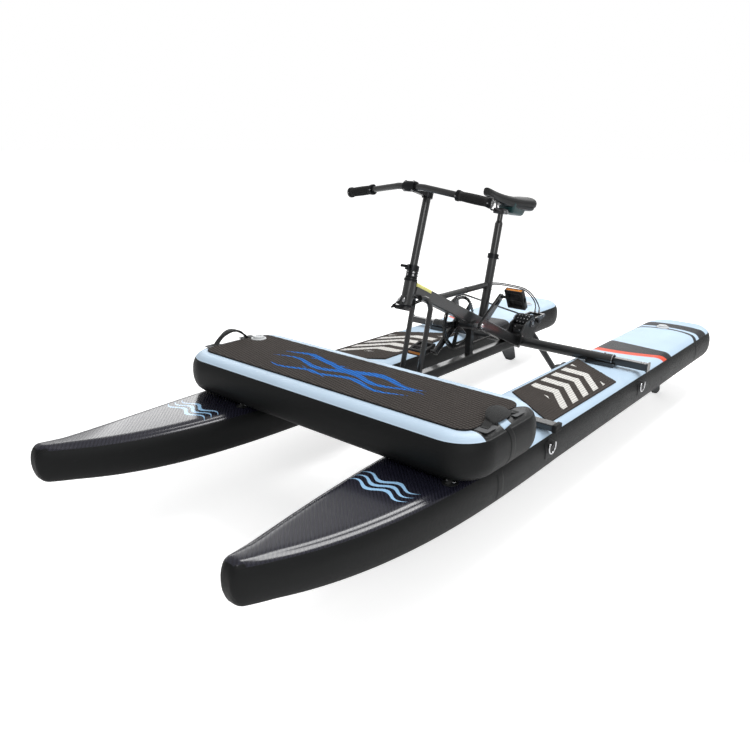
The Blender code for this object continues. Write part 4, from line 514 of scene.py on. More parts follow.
def pick(piece, test):
    """Selects the faces that pass the test and nothing else."""
    bpy.ops.mesh.select_mode(type="FACE")
    select("DESELECT")
    shape = bmesh.from_edit_mesh(piece.data)
    for face in shape.faces:
        if test(face):
            face.select = True
    shape.select_flush(True)
    bmesh.update_edit_mesh(piece.data)


def grooved_pad(name, corners, corner_radius, base, skew=0.0, hole=None):
    """A foam panel: a flat sheet cut into squares, each raised off its grooves, then given its thickness.
    The grooves are turned by skew degrees. A hole is a centre and a radius, round which the sheet is cut out."""
    piece = begin(name)
    bpy.ops.mesh.primitive_plane_add(size=2)
    shape = bmesh.from_edit_mesh(piece.data)
    low = base + PAD_THICKNESS - GROOVE_DEPTH
    for corner, (x, y) in zip(shape.verts, (corners[0], corners[1], corners[3], corners[2])):
        corner.co = (x, y, low)
    bmesh.update_edit_mesh(piece.data)
    if corner_radius:
        select("SELECT")
        bpy.ops.mesh.bevel(offset=corner_radius, segments=8, affect="VERTICES")
    for degrees in (skew, skew + 90):
        normal = Vector((cos(radians(degrees)), sin(radians(degrees)), 0))
        reaches = [normal.xy.dot(Vector(corner)) for corner in corners]
        least, most = min(reaches), max(reaches)
        count = round((most - least) / GROOVE_PITCH)
        for line in range(1, count):
            select("SELECT")
            bpy.ops.mesh.bisect(plane_co=normal * (least + (most - least) * line / count), plane_no=normal)
    if hole:
        centre, radius = Vector((*hole[0], low)), hole[1]
        pick(piece, lambda face: (face.calc_center_median() - centre).length < radius)
        bpy.ops.mesh.delete(type="FACE")
        shape = bmesh.from_edit_mesh(piece.data)
        for corner in shape.verts:
            away = corner.co - centre
            if corner.is_boundary and away.length < radius * 1.5:
                corner.co = centre + away.normalized() * radius
        bmesh.update_edit_mesh(piece.data)
    least_area = SMALLEST_BLOCK * GROOVE_PITCH ** 2
    pick(piece, lambda face: face.calc_area() > least_area)
    bpy.ops.mesh.inset(thickness=GROOVE_HALF, use_individual=True)
    bpy.ops.transform.translate(value=(0, 0, GROOVE_DEPTH))
    bpy.ops.mesh.select_mode(type="EDGE")
    select("DESELECT")
    bpy.ops.mesh.select_non_manifold(extend=False)
    bpy.ops.mesh.extrude_region_move(TRANSFORM_OT_translate={"value": (0, 0, base - low)})
    bpy.ops.mesh.fill(use_beauty=False)
    select("SELECT")
    bpy.ops.mesh.normals_make_consistent(inside=False)
    mode("OBJECT")
    return piece


def foam(name, top):
    """Closed-cell foam: matt, brown-black, with a fine speckle of open cells, and painted shade that darkens the
    grooves below its top.
    """
    finish = Finish(name, 0.85, Sheen_Weight=0.06, Sheen_Roughness=0.5, Specular_IOR_Level=0.25)
    worked = finish.marked(7.0, 1500.0)
    shade = finish.tint(worked["Specks"], (0.0085, 0.0068, 0.0058), (0.098, 0.079, 0.068))
    shade = finish.tint(calc("MULTIPLY", worked["Patches"], 0.35), shade, (0.018, 0.015, 0.0135))
    groove_painted_shade_mask = calc("LESS_THAN", finish.z, top - GROOVE_DEPTH / 2)
    return finish, worked, shade, groove_painted_shade_mask, finish.bump(worked["Specks"], 0.0004)


finish, worked, shade, groove_painted_shade_mask, normal = foam("deck_foam", DECK + PAD_LIFT + PAD_THICKNESS)
inward = calc("SUBTRACT", calc("ABSOLUTE", finish.x), PAD_INNER_X)
sheared = calc("ADD", finish.y, calc("MULTIPLY", inward, PAD_SLANT / PAD_WIDTH))
fold = calc("ABSOLUTE", calc("SUBTRACT", inward, PAD_WIDTH / 2))
chevron = calc("FRACT", calc("DIVIDE", calc("MULTIPLY_ADD", fold, 0.62, sheared), 0.088))
bars = calc("MULTIPLY", calc("LESS_THAN", chevron, 0.52), between(sheared, 0.035, 0.395))
bars = calc("MULTIPLY", bars, between(inward, 0.018, PAD_WIDTH - 0.018))
white_foam = finish.tint(worked["Specks"], (0.66, 0.64, 0.60), (0.88, 0.87, 0.84))
# Painted shade darkens the grooves, most of the way to near-black
shade = finish.tint(calc("MULTIPLY", groove_painted_shade_mask, 0.6), finish.tint(bars, shade, white_foam), GROOVE_PAINTED_SHADE)
deck_foam = finish.done(shade, None, normal)
for label, side in SIDES:
    inner, outer = side * PAD_INNER_X, side * (PAD_INNER_X + PAD_WIDTH)
    corners = [
        (inner, PAD_FRONT_Y), (outer, PAD_FRONT_Y - PAD_SLANT), (outer, PAD_REAR_Y - PAD_SLANT), (inner, PAD_REAR_Y)
    ]
    pad = grooved_pad(f"{label}_traction_pad", corners, 0.0, DECK + PAD_LIFT)
    finished(pad, deck_foam, "boat", "pad_brown", f"{label}_deck_pad")


# Bench: a third drop-stitch board, laid across both bows on rubber risers. Its pale top sheet is lapped by the
# charcoal side band, which also caps both ends, and a lapped seam runs down the middle of each end.
BENCH_LENGTH, BENCH_DEPTH, BENCH_THICKNESS = 1.269, 0.438, 0.140
BENCH_Y, BENCH_BOTTOM, BENCH_CORNER = -0.6715, 0.333, 0.125
BENCH_TOP = BENCH_BOTTOM + BENCH_THICKNESS
BENCH_BAND_EDGE = 44.5
BENCH_SHEET_HALF = 0.550    # where the end caps start
END_CAP_FRONT, END_CAP_REAR = -0.800, -0.560
END_FLARE_X, END_FLARE_SLOPE = 0.570, 1.8        # where and how steeply the caps widen rearwards
END_SEAM_Y = -0.690
BENCH_ANGLES = [90, 84, 78, 72, 66, 60, 54, 49, BENCH_BAND_EDGE + 0.3, BENCH_BAND_EDGE - 0.3, 38, 30, 22, 15, 8, 0]


def rounded_outline(length, depth, radius, centre_y, steps):
    points = []
    for index, (sx, sy) in enumerate(((1, 1), (-1, 1), (-1, -1), (1, -1))):
        for step in range(steps + 1):
            angle = (index + step / steps) * pi / 2
            points.append((
                sx * (length / 2 - radius) + radius * cos(angle),
                centre_y + sy * (depth / 2 - radius) + radius * sin(angle),
            ))
    return points


rings = []
for degrees in [-a for a in BENCH_ANGLES] + BENCH_ANGLES[-2::-1]:
    angle = radians(degrees)
    inset = RAIL_DEPTH * (1 - abs(cos(angle)) ** (2 / RAIL_POWER)) if abs(degrees) < 90 else RAIL_DEPTH
    height = copysign(abs(sin(angle)) ** (2 / RAIL_POWER), degrees) * BENCH_THICKNESS / 2
    if abs(degrees) < BENCH_BAND_EDGE:
        inset -= BAND_THICKNESS
    outline = rounded_outline(BENCH_LENGTH - 2 * inset, BENCH_DEPTH - 2 * inset, BENCH_CORNER - inset, BENCH_Y, 14)
    rings.append([(x, y, BENCH_BOTTOM + BENCH_THICKNESS / 2 + height) for x, y in outline])
bench = skin_over("inflated_bench", rings, weld=False)

finish, shade, rough, normal = coated_cloth("bench_sheet", (0.60, 0.76, 0.92), (0.80, 0.88, 0.95), 0.36)
band = finish.tint(0.5, (0.0060, 0.0066, 0.0070), (0.010, 0.011, 0.0115))
outwards = calc("ABSOLUTE", finish.x)
flare = calc("MAXIMUM", calc("SUBTRACT", outwards, END_FLARE_X), 0.0)
cap_rear = calc("MULTIPLY_ADD", flare, END_FLARE_SLOPE, END_CAP_REAR)
at_end = calc("GREATER_THAN", outwards, BENCH_SHEET_HALF)
capped = calc("MULTIPLY", at_end, between(finish.y, END_CAP_FRONT, cap_rear))
bench_sheet = finish.done(finish.tint(capped, shade, band), rough, normal)
for paint in (charcoal_band, bench_sheet):
    bench.data.materials.append(paint)
columns = len(rings[0])
for face in bench.data.polygons:
    if face.index // columns >= len(rings) - 1 - BENCH_ANGLES.index(BENCH_BAND_EDGE - 0.3):
        face.material_index = 1
weld_skin(bench)
for face in bench.data.polygons:
    if face.normal.z > 0.99 and face.center.z > BENCH_TOP - 0.001:
        face.material_index = 1
finished(bench, None, "boat", "deck_blue", "bench", degrees=50)

BENCH_PAD_LENGTH, BENCH_PAD_DEPTH, BENCH_PAD_Y, BENCH_PAD_CORNER = 1.144, 0.300, -0.677, 0.045
BENCH_PAD_SKEW = -15.0
finish, worked, shade, groove_painted_shade_mask, normal = foam("bench_foam", BENCH_TOP + PAD_LIFT + PAD_THICKNESS)
WAVE_INK, WAVE_SWING, WAVE_RATE = (0.006, 0.165, 0.62), 0.017, 24.0
waves = None
for middle, half_length, centre_x, thick, phase in (
    (-0.622, 0.15, -0.185, 0.0120, 2.6), (-0.640, 0.26, 0.045, 0.0170, 0.0), (-0.683, 0.33, -0.010, 0.0130, 0.9),
    (-0.726, 0.23, 0.060, 0.0105, 1.8), (-0.752, 0.13, -0.150, 0.0080, 0.4),
):
    local_x = calc("SUBTRACT", finish.x, centre_x)
    line = wave(local_x, finish.y, middle, half_length, thick, WAVE_SWING, WAVE_RATE, phase)
    waves = calc("MAXIMUM", waves, line) if waves else line
# Painted shade darkens the grooves, over the blue print too
shade = finish.tint(groove_painted_shade_mask, finish.tint(waves, shade, WAVE_INK), GROOVE_PAINTED_SHADE)
bench_foam = finish.done(shade, None, normal)
VALVE_RADIUS = 0.030
BENCH_VALVE = (-0.538, -0.588)
half_length, half_depth = BENCH_PAD_LENGTH / 2, BENCH_PAD_DEPTH / 2
pad = grooved_pad("bench_foam_pad", [
    (-half_length, BENCH_PAD_Y - half_depth), (half_length, BENCH_PAD_Y - half_depth),
    (half_length, BENCH_PAD_Y + half_depth), (-half_length, BENCH_PAD_Y + half_depth),
], BENCH_PAD_CORNER, BENCH_TOP + PAD_LIFT, BENCH_PAD_SKEW, (BENCH_VALVE, VALVE_RADIUS + 0.001))
finished(pad, bench_foam, "boat", "pad_brown", "bench_pad")


# Valves: moulded white plastic inlets welded into the top sheets, each with a flange, a cap with finger ribs
# and a push button in the middle. Two are at the sterns and one is at the bench's starboard end.
VALVE_HEIGHT, VALVE_CAP_RADIUS = 0.007, 0.019
HULL_VALVE_INSET, HULL_VALVE_Y = 0.035, 1.300


def turned(name, profile, place, axis=(0, 0, 1), steps=48):
    """Spins a profile of (radius, height) pairs about the axis through the place."""
    piece = begin(name)
    mode("OBJECT")
    piece.data.from_pydata([(r, 0, h) for r, h in profile], [(i, i + 1) for i in range(len(profile) - 1)], [])
    mode("EDIT")
    select("SELECT")
    bpy.ops.mesh.spin(steps=steps, angle=2 * pi, center=(0, 0, 0), axis=(0, 0, 1))
    select("SELECT")
    bpy.ops.mesh.remove_doubles(threshold=1e-6)
    bpy.ops.mesh.normals_make_consistent(inside=False)
    mode("OBJECT")
    turn = Vector(axis).to_track_quat("Z", "Y").to_matrix().to_4x4()
    piece.data.transform(Matrix.Translation(place) @ turn)
    return piece


def moulded(name, colour, roughness, speck=0.5, depth=0.00006, **plain):
    """Moulded plastic or rubber: a slightly uneven colour, a fine eggshell grain and rubbed patches."""
    finish = Finish(name, roughness, **plain)
    worked = finish.marked(22.0, 1400.0)
    shade = finish.tint(calc("MULTIPLY", worked["Specks"], speck), tuple(c * 0.80 for c in colour), colour)
    pale = tuple(min(1.0, c * 1.5 + 0.02) for c in colour)
    shade = finish.tint(calc("MULTIPLY", worked["Scuffs"], 0.4), shade, pale)
    rough = finish.range(worked["Patches"], roughness - 0.08, roughness + 0.10)
    return finish.done(shade, rough, finish.bump(worked["Specks"], depth))


valve_plastic = moulded("valve_plastic", (0.78, 0.80, 0.81), 0.38)
valve_places = [("bench", BENCH_VALVE[0], BENCH_VALVE[1], BENCH_TOP)]
valve_places += [(f"{label}_hull", side * (HULL_X - HULL_VALVE_INSET), HULL_VALVE_Y, DECK) for label, side in SIDES]
valve_profile = [
    (0, 0.0002), (VALVE_RADIUS - 0.001, 0.0002), (VALVE_RADIUS, 0.0016),
    (VALVE_RADIUS - 0.0012, VALVE_HEIGHT - 0.0012), (VALVE_RADIUS - 0.003, VALVE_HEIGHT),
    (VALVE_CAP_RADIUS + 0.004, VALVE_HEIGHT), (VALVE_CAP_RADIUS + 0.0022, 0.0042),
    (VALVE_CAP_RADIUS + 0.0008, 0.0042), (VALVE_CAP_RADIUS + 0.0002, 0.0125), (VALVE_CAP_RADIUS - 0.0012, 0.0139),
    (0.0125, 0.0139), (0.0112, 0.0100), (0.0085, 0.0096), (0.0076, 0.0120), (0.0062, 0.0128), (0, 0.0129),
]
for name, x, y, z in valve_places:
    valve = turned(f"{name}_air_valve", valve_profile, (x, y, z))
    mode("EDIT")
    centre = Vector((x, y, 0))
    pick(valve, lambda face: face.calc_center_median().z > z + 0.006 and abs(face.normal.z) < 0.3
         and abs((face.calc_center_median() - centre).xy.length - VALVE_CAP_RADIUS) < 0.0012
         and round(atan2(face.calc_center_median().y - y, face.calc_center_median().x - x) * 24 / pi) % 2)
    bpy.ops.mesh.extrude_faces_move(TRANSFORM_OT_shrink_fatten={"value": 0.0011})
    finished(valve, valve_plastic, "boat", "valve_white", f"{name}_valve")


# Risers: black rubber sheets between the bench and the bow decks, with ribs along their edges.
RISER_LENGTH, RISER_DEPTH, RISER_Y, RISER_THICKNESS = 0.200, 0.180, -0.640, 0.005
black_rubber = moulded("black_rubber", (0.010, 0.010, 0.0105), 0.66, depth=0.00012, Specular_IOR_Level=0.3)
for label, side in SIDES:
    riser = begin(f"{label}_rubber_riser")
    cube((side * HULL_X, RISER_Y, DECK + RISER_THICKNESS / 2), (RISER_LENGTH, RISER_DEPTH, RISER_THICKNESS - 0.0006))
    rounded(0.0012, 2)
    pick(riser, lambda face: abs(face.normal.y) > 0.9)
    bpy.ops.mesh.inset(thickness=0.0009)
    bpy.ops.mesh.extrude_region_shrink_fatten(TRANSFORM_OT_shrink_fatten={"value": -0.0012})
    finished(riser, black_rubber, "boat", "rubber", f"{label}_bench_riser")


# Carrying handles: 25 mm webbing in an arch over each end of the bench, with a padded sleeve round the
# middle. Their feet are welded down under grey fabric patches. The port one has flopped inwards.
HANDLE_X, HANDLE_FRONT_Y, HANDLE_REAR_Y = 0.587, -0.767, -0.595
HANDLE_RISE, HANDLE_WIDTH, WEB_THICKNESS = 0.042, 0.025, 0.0022
HANDLE_SHAPE = {                                    # its shift inwards and its height, as shares of the rise,
    "port": (0.25, 0.38, 0.056, (0.89, 0, -0.46)),    # the sleeve's width and the way that it faces sideways
    "starboard": (0.0, 1.0, 0.031, (1, 0, 0)),
}
PATCH_LENGTH, PATCH_WIDTH = 0.062, 0.050

finish = Finish("webbing_weave", 0.72, Sheen_Weight=0.08, Specular_IOR_Level=0.35)
ribs = calc("SINE", calc("MULTIPLY", finish.x, 2 * pi / 0.0022))
picks = calc("SINE", calc("MULTIPLY", calc("ADD", finish.y, finish.z), 2 * pi / 0.0018))
weave_height = calc("MULTIPLY", ribs, picks)
worked = finish.marked(20.0, 2500.0)
shade = finish.tint(finish.range(weave_height, 0.45, 0.95), (0.005, 0.0055, 0.0055), (0.015, 0.016, 0.016))
shade = finish.tint(calc("MULTIPLY", worked["Specks"], 0.3), shade, (0.030, 0.031, 0.031))
webbing_weave = finish.done(shade, None, finish.bump(weave_height, 0.0003))
finish, shade, rough, normal = coated_cloth("grey_patch_cloth", (0.085, 0.088, 0.092), (0.16, 0.165, 0.17), 0.6)
grey_patch = finish.done(shade, rough, normal)


def strip_along(name, route, widths, thickness, sideways):
    """A flat strip of the given widths along a route, lying across the sideways directions, with its thickness."""
    rows = []
    for index, (point, width, side_way) in enumerate(zip(route, widths, sideways)):
        ahead = route[min(index + 1, len(route) - 1)] - route[max(index - 1, 0)]
        side_way = side_way.normalized()
        normal = side_way.cross(ahead).normalized()
        half, deep = side_way * width / 2, normal * thickness / 2
        edge = side_way * thickness * 0.35
        rows.append([
            point - half + edge + deep, point + half - edge + deep, point + half, point + half - edge - deep,
            point - half + edge - deep, point - half,
        ])
    return skin_over(name, rows)


middle_y, half_y = (HANDLE_FRONT_Y + HANDLE_REAR_Y) / 2, (HANDLE_REAR_Y - HANDLE_FRONT_Y) / 2
for label, side in SIDES:
    shift, stand, width, facing = HANDLE_SHAPE[label]
    route, sleeve_route = [], []
    for step in range(41):
        along = -1 + step / 20
        rise = HANDLE_RISE * max(0.0, cos(pi / 2 * along / 0.86)) ** 0.8 if abs(along) < 0.86 else 0.0
        place = (side * (HANDLE_X - shift * rise), middle_y + half_y * along, BENCH_TOP + 0.0022 + rise * stand)
        point = Vector(place)
        route.append(point)
        if abs(along) < 0.62:
            sleeve_route.append(point)
    tilt = Vector((side * facing[0], 0, facing[2]))
    flat = Vector((side, 0, 0))
    sideways = [flat.lerp(tilt, min(1.0, 1.6 * (1 - abs(-1 + i / 20)))) for i in range(len(route))]
    strap = strip_along(f"{label}_handle_webbing", route, [HANDLE_WIDTH] * len(route), WEB_THICKNESS, sideways)
    finished(strap, webbing_weave, "boat", "webbing", f"{label}_bench_handle")
    count = len(sleeve_route)
    swell = [sin(pi * (i + 0.6) / (count + 0.2)) ** 0.35 for i in range(count)]
    widths = [width * s for s in swell]
    sleeve = strip_along(f"{label}_handle_sleeve", sleeve_route, widths, 0.0080, [tilt] * count)
    finished(sleeve, webbing_weave, "boat", "webbing", degrees=70)
    for end, y in (("front", HANDLE_FRONT_Y + 0.006), ("rear", HANDLE_REAR_Y - 0.006)):
        patch = begin(f"{label}_{end}_handle_patch")
        cube((side * (HANDLE_X - 0.001), y, BENCH_TOP + 0.0008), (PATCH_WIDTH, PATCH_LENGTH, 0.0014))
        select("DESELECT")
        bpy.ops.mesh.select_mode(type="EDGE")
        shape = bmesh.from_edit_mesh(patch.data)
        for edge in shape.edges:
            edge.select = abs((edge.verts[0].co - edge.verts[1].co).normalized().z) > 0.9
        bmesh.update_edit_mesh(patch.data)
        bpy.ops.mesh.bevel(offset=0.008, segments=5, affect="EDGES")
        finished(patch, grey_patch, "boat", "webbing")


# D-rings: bent chrome wire, held by a folded webbing tab on a fabric patch that is welded to the hull's side.
RING_WIRE, RING_WIDTH, RING_DROP, RING_STAND_OFF = 0.0028, 0.044, 0.034, 0.008
RING_HEIGHT, RING_PATCH_WIDTH, RING_TAB_WIDTH = 0.108, 0.062, 0.022
PATCH_LOW, PATCH_HIGH, PATCH_THICKNESS = 0.056, 0.113, 0.0016
PATCH_SECTION = ((-1, 0), (-1, 0.7), (-0.94, 1), (-0.5, 1), (0, 1), (0.5, 1), (0.94, 1), (1, 0.7), (1, 0))
RING_Y = {"front": -0.352, "rear": 0.450}


def metal(name, colour, roughness, depth=0.00004, **plain):
    """Bare or plated metal with fine polishing lines, cloudy tarnish and rubbed patches."""
    finish = Finish(name, roughness, 1.0, **plain)
    worked = finish.marked(30.0, 1800.0)
    shade = finish.tint(finish.range(worked["Patches"], -0.3, 1.2), tuple(c * 0.82 for c in colour), colour)
    shade = finish.tint(calc("MULTIPLY", worked["Scuffs"], 0.5), shade, tuple(c * 0.6 for c in colour))
    rough = finish.range(worked["Patches"], max(0.03, roughness - 0.06), roughness + 0.10)
    return finish.done(shade, rough, finish.bump(worked["Specks"], depth))


def tube_along(name, points, radii, cyclic=False, sides=6):
    """A round tube through the points. radii is one radius, or one for each point."""
    line = bpy.data.curves.new(name, "CURVE")
    line.dimensions = "3D"
    line.bevel_depth = 1.0
    line.bevel_resolution = max(1, sides // 2 - 1)
    line.use_fill_caps = not cyclic
    spline = line.splines.new("POLY")
    spline.points.add(len(points) - 1)
    spline.use_cyclic_u = cyclic
    for index, (target, point) in enumerate(zip(spline.points, points)):
        target.co = (*point, 1.0)
        target.radius = radii if isinstance(radii, float) else radii[index]
    piece = bpy.data.objects.new(name, line)
    bpy.context.scene.collection.objects.link(piece)
    choose(piece)
    bpy.ops.object.convert(target="MESH")
    piece = bpy.context.object
    mode("EDIT")
    select("SELECT")
    bpy.ops.mesh.remove_doubles(threshold=1e-6)
    bpy.ops.mesh.normals_make_consistent(inside=False)
    mode("OBJECT")
    piece.name = name
    return piece


def side_of_hull(side, y, height):
    """The point on the hull's outer side at a height above its bottom."""
    ring = hull_ring(side, y)[:2 * len(SIDE_ANGLES) + 1]
    for near, far in zip(ring, ring[1:]):
        if far[2] <= HULL_BOTTOM + height <= near[2]:
            share = (near[2] - HULL_BOTTOM - height) / (near[2] - far[2])
            return Vector(near).lerp(Vector(far), share)
    return Vector(ring[len(SIDE_ANGLES)])


chrome = metal("chrome_plate", (0.78, 0.79, 0.81), 0.10)
finish, shade, rough, normal = coated_cloth(
    "black_patch_cloth", (0.010, 0.0105, 0.0115), (0.03, 0.032, 0.034), 0.46, 0.3
)
black_patch = finish.done(shade, rough, normal)
for label, side in SIDES:
    for end, y in RING_Y.items():
        widest = side_of_hull(side, y - RING_PATCH_WIDTH / 2, 0.070).x * side
        top, half = HULL_BOTTOM + RING_HEIGHT, RING_WIDTH / 2
        ring_x = side * (widest + RING_STAND_OFF)
        route = []
        for step in range(33):
            angle = -pi * step / 32
            route.append((ring_x, y + half * cos(angle), top - RING_DROP + half + half * sin(angle)))
        corner = [(ring_x, y - half, top - 0.003), (ring_x, y - half + 0.003, top)]
        corner += [(ring_x, y + half - 0.003, top), (ring_x, y + half, top - 0.003)]
        ring = tube_along(f"{label}_{end}_ring", route + corner, RING_WIRE, cyclic=True, sides=14)
        finished(ring, chrome, "boat", "chrome", f"{label}_{end}_d_ring", degrees=60)
        rows = []
        for step in range(11):
            height = PATCH_LOW + (PATCH_HIGH - PATCH_LOW) * step / 10
            inset = 0.008 * (1 - sqrt(max(0.0, 1 - max(0.0, (abs(step / 5 - 1) - 0.78) / 0.22) ** 2)))
            row = []
            for share, lift in PATCH_SECTION:
                at = y + share * (RING_PATCH_WIDTH / 2 - inset)
                row.append(side_of_hull(side, at, height) + Vector((side * (lift * PATCH_THICKNESS + 0.0002), 0, 0)))
            rows.append(row)
        patch = skin_over(f"{label}_{end}_ring_patch", rows)
        finished(patch, black_patch, "boat", "webbing")
        foot = side_of_hull(side, y, RING_HEIGHT + 0.008) + Vector((side * 0.002, 0, 0))
        low = side_of_hull(side, y, RING_HEIGHT - 0.026) + Vector((side * 0.002, 0, 0))
        bar = Vector((ring_x, y, top))
        wrap = RING_WIRE + 0.0014
        fold = [foot.lerp(bar, 0.5) + Vector((0, 0, wrap * 0.9))]
        for a in (1.57, 0.9, 0.2, -0.5, -1.2, -1.57):
            fold.append(bar + Vector((side * wrap * cos(a), 0, wrap * sin(a))))
        fold.append(low.lerp(bar, 0.45) + Vector((0, 0, 0.002)))
        fold = [foot] + fold + [low]
        tab = strip_along(
            f"{label}_{end}_ring_tab", fold, [RING_TAB_WIDTH] * len(fold), 0.0018, [Vector((0, 1, 0))] * len(fold)
        )
        finished(tab, webbing_weave, "boat", "webbing", degrees=60)


def joined(name, pieces):
    """Makes the pieces one, under this name."""
    choose(*pieces)
    bpy.ops.object.join()
    pieces[0].name = name
    return pieces[0]


# Small D-rings lie flat on the decks, two by the bench and two inboard near the rear crossbar
FLAT_RINGS = ((0.5445, -0.853), (-0.322, -0.854), (0.302, 0.530), (-0.302, 0.530))
FLAT_RING_HEIGHT, FLAT_RING_HALF, FLAT_RING_WIRE = 0.0036, 0.0125, 0.0017
patches, wires, tabs = [], [], []
for x, y in FLAT_RINGS:
    side = PORT if x > 0 else STARBOARD
    base = Vector((x, y, DECK + 0.0002))
    base.z += max(0.0, hull_ring(side, y)[0][2] - DECK)
    patches.append(turned("patch", [(0, 0.0012), (0.0215, 0.0012), (0.0228, 0.0007), (0.0235, 0.0)], base, steps=36))
    wire = []
    for i in range(21):
        angle = pi * i / 20
        wire.append(base + Vector((FLAT_RING_HALF * cos(angle), 0.0120 * sin(angle) + 0.002, FLAT_RING_HEIGHT)))
    wire += [base + Vector((x, 0, FLAT_RING_HEIGHT)) for x in (-FLAT_RING_HALF, FLAT_RING_HALF)]
    wires.append(tube_along("wire", wire, FLAT_RING_WIRE, cyclic=True, sides=10))
    tabs.append(strip_along("tab", [base + Vector(v) for v in (
        (0, -0.016, 0.0018), (0, -0.008, 0.0022), (0, -0.003, 0.0050), (0, 0.0005, 0.0064), (0, 0.0035, 0.0050),
        (0, 0.0062, 0.0020)
    )], [0.014] * 6, 0.0016, [Vector((1, 0, 0))] * 6))
for name, parts, paint, slot in (
    ("deck_ring_patches", patches, black_patch, "webbing"), ("deck_rings", wires, chrome, "chrome"),
    ("deck_ring_tabs", tabs, webbing_weave, "webbing"),
):
    finished(joined(name, parts), paint, "boat", slot, degrees=50)


# Fins: stiff moulded nylon skegs under the sterns, which slide into a foot and lock. The CAD solids stay.
fin_nylon = moulded("fin_nylon", (0.018, 0.023, 0.027), 0.34)


def carried_over(paint, *nodes):
    """Gives CAD nodes that stay their material."""
    for name in nodes:
        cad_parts[name].data.materials.clear()
        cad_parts[name].data.materials.append(paint)


carried_over(fin_nylon, "port_fin", "starboard_fin")


# Frame and crossbars: welded aluminium tube under a satin black powder coat, with a weld bead at each joint.
# The two crossbars lie across the decks, and a square bar slides out of each end of the rear one.
def powder_coat(name, colour, roughness, peel=0.0005):
    """Powder coat: a fine orange peel, cloudy gloss, and scuffs that show the paler layer under it."""
    finish = Finish(name, roughness, Coat_Weight=0.85, Coat_Roughness=0.13, Specular_IOR_Level=0.35)
    worked = finish.marked(16.0, 420.0)
    shade = finish.tint(worked["Patches"], tuple(c * 0.75 for c in colour), colour)
    shade = finish.tint(calc("MULTIPLY", worked["Scuffs"], 0.35), shade, tuple(c * 3 + 0.02 for c in colour))
    rough = finish.range(worked["Patches"], roughness - 0.08, roughness + 0.12)
    return finish.done(shade, rough, finish.bump(worked["Specks"], peel))


frame_coat = powder_coat("black_powder_coat", (0.0100, 0.0106, 0.0112), 0.34)
carried_over(
    frame_coat, "front_crossbar", "rear_crossbar", "port_crossbar_end", "starboard_crossbar_end", "main_beam",
    "head_tube", "seat_tube", "top_tube", "port_front_leg", "starboard_front_leg", "keel_rail", "centre_strut",
    "steerer", "handlebar_column", "handlebar", "seatpost", "drive_bracket",
)

BEAM_SLOPE = radians(24.3)
BEAM_RUN = Vector((0, cos(BEAM_SLOPE), -sin(BEAM_SLOPE)))
BEAM_UP = Vector((0, sin(BEAM_SLOPE), cos(BEAM_SLOPE)))
BEAM_WIDTH, BEAM_HEIGHT = 0.038, 0.046
CRANK_CENTRE = Vector((0, 0.066, 0.509))
BEAM_AT_CRANK = CRANK_CENTRE + BEAM_UP * (BEAM_HEIGHT / 2)
HEAD_TILT, SEAT_TILT = radians(16.0), radians(12.2)
HEAD_BASE = Vector((0, -0.3635, 0.650))
HEAD_AXIS = Vector((0, sin(HEAD_TILT), cos(HEAD_TILT)))
HEAD_FORWARD = Vector((0, -cos(HEAD_TILT), sin(HEAD_TILT)))
SEAT_AXIS = Vector((0, sin(SEAT_TILT), cos(SEAT_TILT)))
SEAT_FOOT = BEAM_AT_CRANK + BEAM_RUN * ((0.150 - 0.066) / BEAM_RUN.y) + BEAM_UP * (BEAM_HEIGHT / 2)
SEAT_TUBE_RADIUS, TOP_TUBE_RADIUS, TOP_TUBE_Z = 0.0175, 0.0120, 0.654
LEG_RADIUS, LEG_SPREAD, LEG_FOOT_Y = 0.010, 0.040, -0.330
KEEL_WIDTH, KEEL_HEIGHT, KEEL_Z = 0.036, 0.040, 0.358
STRUT_Y, STRUT_SIZE = 0.080, 0.024
FRONT_BAR_Y, FRONT_BAR_TOP = -0.330, DECK + 0.005 + 0.022
REAR_BAR_Y, REAR_BAR_Z = 0.4856, DECK + 0.0264
BEAD, BEAD_LIFT = 0.0024, 0.0012


def round_outline(centre, axis, radius, steps=40):
    turn = Vector(axis).to_track_quat("Z", "Y").to_matrix()
    return [
        centre + turn @ Vector((cos(2 * pi * i / steps), sin(2 * pi * i / steps), 0)) * radius
        for i in range(steps)
    ]


def square_outline(centre, wide, high, half_width, half_height, steps=10):
    corners = [(1, 1), (-1, 1), (-1, -1), (1, -1)]
    points = []
    for (ax, ay), (bx, by) in zip(corners, corners[1:] + corners[:1]):
        for i in range(steps):
            u, v = ax + (bx - ax) * i / steps, ay + (by - ay) * i / steps
            points.append(centre + wide * (u * half_width) + high * (v * half_height))
    return points


def landed(outline, direction, node):
    """Where each point of the outline meets the node's surface along the direction. Misses are left out."""
    points = []
    for start in outline:
        hit, point, _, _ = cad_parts[node].ray_cast(start, Vector(direction))
        if hit:
            points.append(point - Vector(direction) * BEAD_LIFT)
    return points


def weld_bead(name, points, cyclic=True):
    """A bead of overlapping drops along a joint."""
    length = sum((b - a).length for a, b in zip(points, points[1:] + points[:1]))
    count = max(12, round(length / 0.0016))
    dense = []
    marks_at = [0.0]
    closed = points + points[:1] if cyclic else points
    for a, b in zip(closed, closed[1:]):
        marks_at.append(marks_at[-1] + (b - a).length)
    index = 0
    for step in range(count):
        target = marks_at[-1] * step / count
        while marks_at[index + 1] < target:
            index += 1
        share = (target - marks_at[index]) / max(1e-9, marks_at[index + 1] - marks_at[index])
        dense.append(closed[index].lerp(closed[index + 1], share))
    radii = [BEAD * (1.0 if step % 2 else 0.78) for step in range(len(dense))]
    return tube_along(name, dense, radii, cyclic=cyclic, sides=6)


